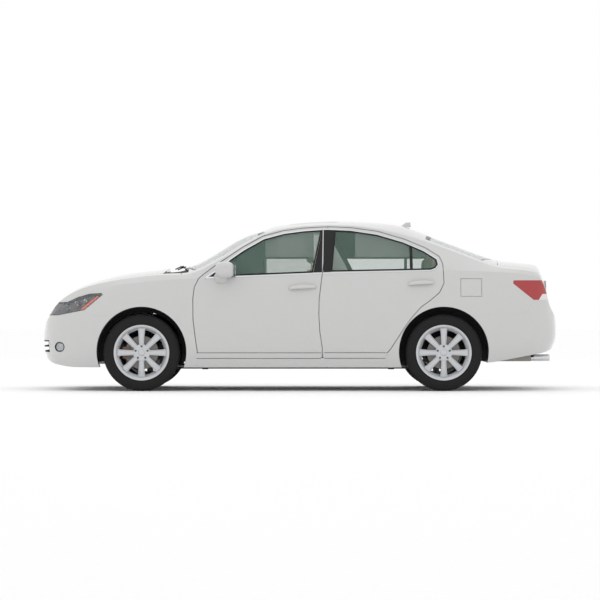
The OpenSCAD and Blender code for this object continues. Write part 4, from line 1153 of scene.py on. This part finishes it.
def make_front_seats():
    for side, sign in (("left", -1), ("right", 1)):
        y = sorted((sign * 142, sign * 618))
        crowned_cushion(f"front_cushion_{side}", FRONT_CUSHION, y, 22 * MM,
                        replaces=["front_seats"] if side == "left" else ())
        y = sorted((sign * 157, sign * 603))
        crowned_cushion(f"front_backrest_{side}", FRONT_BACK, y, 22 * MM)
        y = sorted((sign * 262, sign * 498))
        crowned_cushion(f"front_headrest_{side}", FRONT_HEADREST, y, 10 * MM)
        for k, post in enumerate((330, 430)):
            bar = tube("post", [at(112, sign * post, 1090), at(105, sign * post, 1180)], 0.006, 12)
            fit(bar, f"headrest_post_{side}_{k}", "root", "chrome", "beige_leather")
        rails = [box_piece("rail", at(-420, sign * (y - 20), 257) if sign > 0
                           else at(-420, sign * (y + 20), 257),
                           at(20, sign * (y + 20), 420) if sign > 0 else at(20, sign * (y - 20), 420),
                           0.006)
                 for y in (190, 570)]
        fit(merged(rails, "rails"), f"seat_rails_{side}", "root", "chassis_steel", "chassis_steel")
        for k, y in enumerate((215, 545)):
            seam(f"cushion_seam_{side}_{k}",
                 [at(-474, sign * y, 530), at(-400, sign * y, 581), at(-200, sign * y, 568),
                                              at(-20, sign * y, 548)], "root")
            seam(f"backrest_seam_{side}_{k}",
                 [at(-30, sign * y, 570), at(14, sign * y, 780), at(72, sign * y, 1095)], "root")


def make_rear_seat():
    crowned_cushion("rear_cushion", REAR_CUSHION, (-690, 690), 24 * MM, replaces=["rear_seat"])
    crowned_cushion("rear_backrest_low", REAR_BACK_LOW, (-566, 566), 16 * MM)
    crowned_cushion("rear_backrest", REAR_BACK, (-680, 680), 20 * MM)
    for side, sign in (("left", -1), ("right", 1)):
        crowned_cushion(f"rear_headrest_{side}", REAR_HEADREST, sorted((sign * 248, sign * 492)), 10 * MM)
    for k, y in enumerate((-230, 230)):
        seam(f"rear_seam_{k}", [at(562, y, 560), at(640, y, 592), at(860, y, 567)], "root")


def make_dashboard_details():
    hood_rings = []
    for k in range(13):
        t = k / 12
        y = -560 + 380 * t
        high = 46 * math.sin(math.pi * t) ** 0.6
        hood_rings.append([at(-745, y, 1008), at(-740, y, 1010 + high * 0.7), at(-690, y, 1004 + high),
                           at(-640, y, 985 + high), at(-632, y, 978 + high * 0.8), at(-650, y, 975)])
    fit(softened(loft("binnacle", hood_rings), 0.004), "instrument_hood", "root", "soft_trim",
        "black_plastic")
    screen = box_piece("screen", at(-640, -110, 845), at(-622, 110, 945), 0.006)
    fit(screen, "centre_panel", "root", "dark_glass", "dark_glass")
    vents = [box_piece("vent", at(-632, y - 50, 950), at(-622, y + 50, 976), 0.004)
             for y in (-650, 60, -60, 650)]
    fit(merged(vents, "vents"), "air_vents", "root", "black_plastic", "black_plastic")
    console = [(-620, 335), (-560, 560), (-430, 585), (-150, 560), (60, 600), (200, 590), (210, 335)]
    block_piece = softened(prism([[at(x, y, z) for x, z in console] for y in (-100, 100)]), 0.02)
    fit(block_piece, "centre_console", "root", "beige_trim", "black_plastic")
    lever = tube("lever", [at(-400, 0, 570), at(-385, 0, 640)], 0.012, 16)
    fit(lever, "gear_lever", "root", "soft_trim", "black_plastic")


def make_steering_wheel():
    joint = next(j for j in frame["record"]["behaviour"]["joints"] if j["child"] == "steering_wheel")
    centre = Vector(joint["pos_m"])
    turn = Vector((0, 0, 1)).rotation_difference(Vector(joint["axis"])).to_matrix().to_4x4()
    parts = []
    ring_points = [(0.172 + 0.0145 * math.cos(t), 0.0145 * math.sin(t))
                   for t in (2 * math.pi * k / 20 for k in range(20))]
    rim_piece = lathe("rim", ring_points, Vector(), 1, 96)
    rim_piece.data.transform(Matrix.Rotation(math.radians(90), 4, "X"))
    parts.append(rim_piece)
    pad = lathe("pad", [(0.0, 0.014), (0.035, 0.012), (0.050, 0.004), (0.054, -0.010), (0.050, -0.033),
                        (0.0, -0.034)],
                Vector(), 1, 64)
    pad.data.transform(Matrix.Rotation(math.radians(90), 4, "X"))
    parts.append(pad)
    for angle in (90, 0, -90):
        way = math.radians(angle)
        rings = []
        for share in (0, 0.3, 0.7, 1):
            radius = 0.035 + share * 0.135
            half = 0.017 - 0.006 * math.sin(math.pi * share)
            rings.append([Vector((math.cos(way) * radius - math.sin(way) * w,
                                  math.sin(way) * radius + math.cos(way) * w, h))
                          for w, h in ((-half, -0.007), (-half, 0.003), (0, 0.006), (half, 0.003),
                                       (half, -0.007))])
        parts.append(loft("spoke", rings))
    wheel = merged(parts, "steering")
    wheel.data.transform(Matrix.Translation(centre) @ turn)
    fit(wheel, "steering_wheel_rim", "steering_wheel", "soft_trim", "black_plastic", "steering_wheel")


def make_lining():
    """Ceiling cloth under the roof and beige cards on the inside of the doors."""
    ceiling = within(skin(LID_DEPTH + 2, LID_DEPTH + 6, -420, 1180), down(ROOF_PLAN, -30),
                     block((-500, 1300), (-900, 900), (1200, 1700)))
    fit(shade_like_body(ceiling, 40 * MM), "ceiling_lining", "root", "roof_cloth", "beige_leather")
    for place, shape, x in (("front", FRONT_DOOR, (-1200, 500)), ("rear", REAR_DOOR, (0, 1500))):
        card = within(skin(DOOR_DEPTH + 0.5, DOOR_DEPTH + 8, *x), across(shape, -34),
                      block(x, (-1000, 0), (320, 985)))
        pair(shade_like_body(card, 90 * MM), f"door_card_{place}", "door_" + place, "beige_trim",
             "beige_leather")


# ---- Fittings outside ------------------------------------------------------------------------------


def make_mirrors():
    rings = []
    for share in [k / 16 for k in range(17)]:
        out = -905 - 122 * share
        taper = 1 - 0.35 * max(0, share - 0.8) / 0.2
        size = math.sqrt(max(0.02, 1 - (2 * share - 0.75) ** 2 * 0.36)) * taper
        middle_x, middle_z = -664, 1083
        ring_points = []
        for k in range(28):
            turn = 2 * math.pi * k / 28
            c, s = math.cos(turn), math.sin(turn)
            reach_x = 92 * math.copysign(abs(c) ** 0.75, c) * (1 if c < 0 else 0.92)
            reach_z = 74 * math.copysign(abs(s) ** 0.75, s)
            ring_points.append(at(middle_x + reach_x * size, out, middle_z + reach_z * size))
        rings.append(ring_points)
    head = smooth(loft("mirror", rings), 60)
    pair(head, "mirror_head", "door_front", "white_paint", "white_paint")
    glass_rings = [[at(-577, y, z) for y, z in ((-1012, 1040), (-1012, 1126), (-925, 1134), (-925, 1034))],
                   [at(-573, y, z) for y, z in ((-1012, 1040), (-1012, 1126), (-925, 1134), (-925, 1034))]]
    pair(softened(loft("mirror_glass", glass_rings), 0.0015), "mirror_glass", "door_front", "chrome",
         "alloy_wheel")
    foot = []
    for share in [k / 8 for k in range(9)]:
        out = -850 - 75 * share
        foot.append([at(-705 + 58 * math.cos(t), out,
                        985 + 48 * share ** 1.5 + (30 - 10 * share) * math.sin(t))
                     for t in (2 * math.pi * k / 20 for k in range(20))])
    pair(smooth(loft("foot", foot), 60), "mirror_foot", "door_front", "white_paint", "white_paint")


def make_handles():
    for place, x0, x1, z0, z1 in (("front", -102, 149, 916, 930), ("rear", 964, 1203, 953, 968)):
        rings = []
        for k in range(25):
            t = k / 24
            x = x0 + (x1 - x0) * t
            stand = 30 * (1 - (2 * t - 1) ** 6) - 4
            z = z0 + (z1 - z0) * t + 6 * math.sin(math.pi * t)
            spot = on_side(x, z)
            wide = (13 + 5 * math.sin(math.pi * t)) * MM
            thick = 8 * MM
            out = outside_normal(spot)[0]
            lift = Vector((0, 0, 1)) - out * out.z
            centre = spot + out * stand * MM
            rings.append([centre + lift.normalized() * math.sin(a) * wide + out * math.cos(a) * thick
                          for a in (2 * math.pi * j / 16 for j in range(16))])
        pair(smooth(loft("handle", rings), 50), f"door_handle_{place}", "door_" + place, "white_paint",
             "white_paint")
        cup = [(x0 + 35, z0 - 26), (x1 - 45, z0 - 22), (x1 - 30, z1 + 2), (x1 - 45, z1 + 24),
               (x0 + 35, z0 + 26), (x0 + 22, z0)]
        pair(strip(cup, 2, 0.6), f"handle_cup_{place}", "door_" + place, "cup_shade", "white_paint")


def make_mouldings():
    for place, x0, x1, z in (("front", -925, 190, 317), ("rear", 214, 765, 318)):
        band = [(x0, z - 22), (x1, z - 22), (x1 + (14 if place == "rear" else 0), z + 22), (x0 - 3, z + 22)]
        pair(strip(band, 2, 6), f"side_moulding_{place}", "door_" + place, "white_paint", "white_paint")
        # Dark strips just above and below each moulding: painted shadow lines
        for edge, z0, z1 in (("upper", z + 23, z + 27), ("lower", z - 27, z - 23)):
            shadow = [(x0 + 4, z0), (x1, z0), (x1, z1), (x0 + 4, z1)]
            pair(strip(shadow, 2, 0.8), f"moulding_{edge}_line_{place}", "door_" + place, "painted_shade",
                 "white_paint")


def make_wipers_and_antenna():
    fin = []
    for share in [k / 10 for k in range(11)]:
        x0 = 905 + 70 * share ** 0.8
        x1 = 1022 - 6 * share
        half = 24 * (1 - share) ** 0.8 + 2.5
        base = 1494 if share == 0 else 1497
        z = base - (1 - share) * 12 + 30 * share
        fin.append([at(x0 + (x1 - x0) * (0.5 - 0.5 * math.cos(t)), half * math.sin(t), z)
                    for t in (2 * math.pi * k / 24 for k in range(24))])
    fit(smooth(loft("fin", fin), 50), "antenna_fin", "root", "white_paint", "white_paint")
    for name, y0, y1 in (("driver", -600, -40), ("passenger", -20, 520)):
        arm = [at(-1118, y0 + 40, 1092), at(-1088, (y0 + y1) / 2, 1112), at(-1066, y1 - 60, 1122)]
        fit(tube("arm", bowed(arm), 0.006, 8), f"wiper_arm_{name}", "root", "black_plastic",
            "black_plastic")
        blade = [at(-1075 + 0.00012 * (y - (y0 + y1) / 2) ** 2 * 0.35, y, 1114) for y in range(y0, y1, 40)]
        fit(tube("blade", blade, (0.005, 0.008), 8), f"wiper_blade_{name}", "root", "black_plastic",
            "black_plastic")


def make_plate_and_tail():
    plate = box_piece("plate", at(2252.5, -152, 838), at(2256, 152, 992), 0.0015)
    fit(plate, "number_plate", "trunk_lid", "plate_white", "white_paint")
    garnish = within(skin((-3, -3), (4, 4), 2000, 2325), block((2150, 2400), (-330, 330), (1000, 1030)))
    fit(shade_like_body(garnish), "lid_garnish", "trunk_lid", "chrome", "alloy_wheel")
    tip = [(0.030, -0.16), (0.030, 0.004), (0.0275, 0.008), (0.025, 0.004), (0.025, -0.16)]
    pipe = lathe("tip", tip, Vector(), 1, 48)
    backwards = Matrix.Rotation(math.radians(-90), 4, "Z")
    pipe.data.transform(Matrix.Translation(at(2250, -500, 293)) @ backwards)
    fit(pipe, "exhaust_tip", "root", "chrome", "exhaust_steel")


# ---- Stage, light and camera -----------------------------------------------------------------------


def make_stage():
    floor = new_piece("floor", [(-60, -60, 0), (60, -60, 0), (60, 60, 0), (-60, 60, 0)], [(0, 1, 2, 3)])
    floor.data.materials.append(FINISHES["floor"])
    world = bpy.data.worlds.new("studio")
    world.use_nodes = True
    background = world.node_tree.nodes["Background"]
    background.inputs["Color"].default_value = (1, 1, 1, 1)
    background.inputs["Strength"].default_value = 1.0
    bpy.context.scene.world = world
    bpy.context.scene.view_settings.view_transform = "Standard"
    middle_of_car = Vector((0, 0, 0.7))
    for name, spot, size, watts in (("key", (-3, -6, 10), 7, 30), ("top", (0, 2, 10), 9, 70)):
        lamp = bpy.data.lights.new(name, "AREA")
        lamp.size = size
        lamp.energy = watts
        holder = bpy.data.objects.new(name, lamp)
        holder.location = spot
        holder.rotation_mode = "QUATERNION"
        holder.rotation_quaternion = (middle_of_car - holder.location).to_track_quat("-Z", "Y")
        bpy.context.scene.collection.objects.link(holder)


def make_camera():
    lens = bpy.data.cameras.new("camera")
    lens.sensor_width = 36
    lens.lens = 195.7
    lens.clip_end = 200
    camera = bpy.data.objects.new("camera", lens)
    camera.location = (0.002, -30, 0.8136)
    camera.rotation_euler = (math.radians(90), 0, 0)
    bpy.context.scene.collection.objects.link(camera)
    bpy.context.scene.camera = camera


make_hood()
make_roof()
make_fenders()
make_bumpers()
make_body_sides()
make_doors()
make_trunk_lid()
make_glass()
make_window_trim()
make_pillar_covers()
make_headlights()
make_tail_lights()
make_fog_lamps()
make_wheels()
finish_cad_pieces()
make_arch_liners()
make_front_seats()
make_rear_seat()
make_dashboard_details()
make_steering_wheel()
make_lining()
make_mirrors()
make_handles()
make_mouldings()
make_wipers_and_antenna()
make_plate_and_tail()
make_stage()
make_camera()
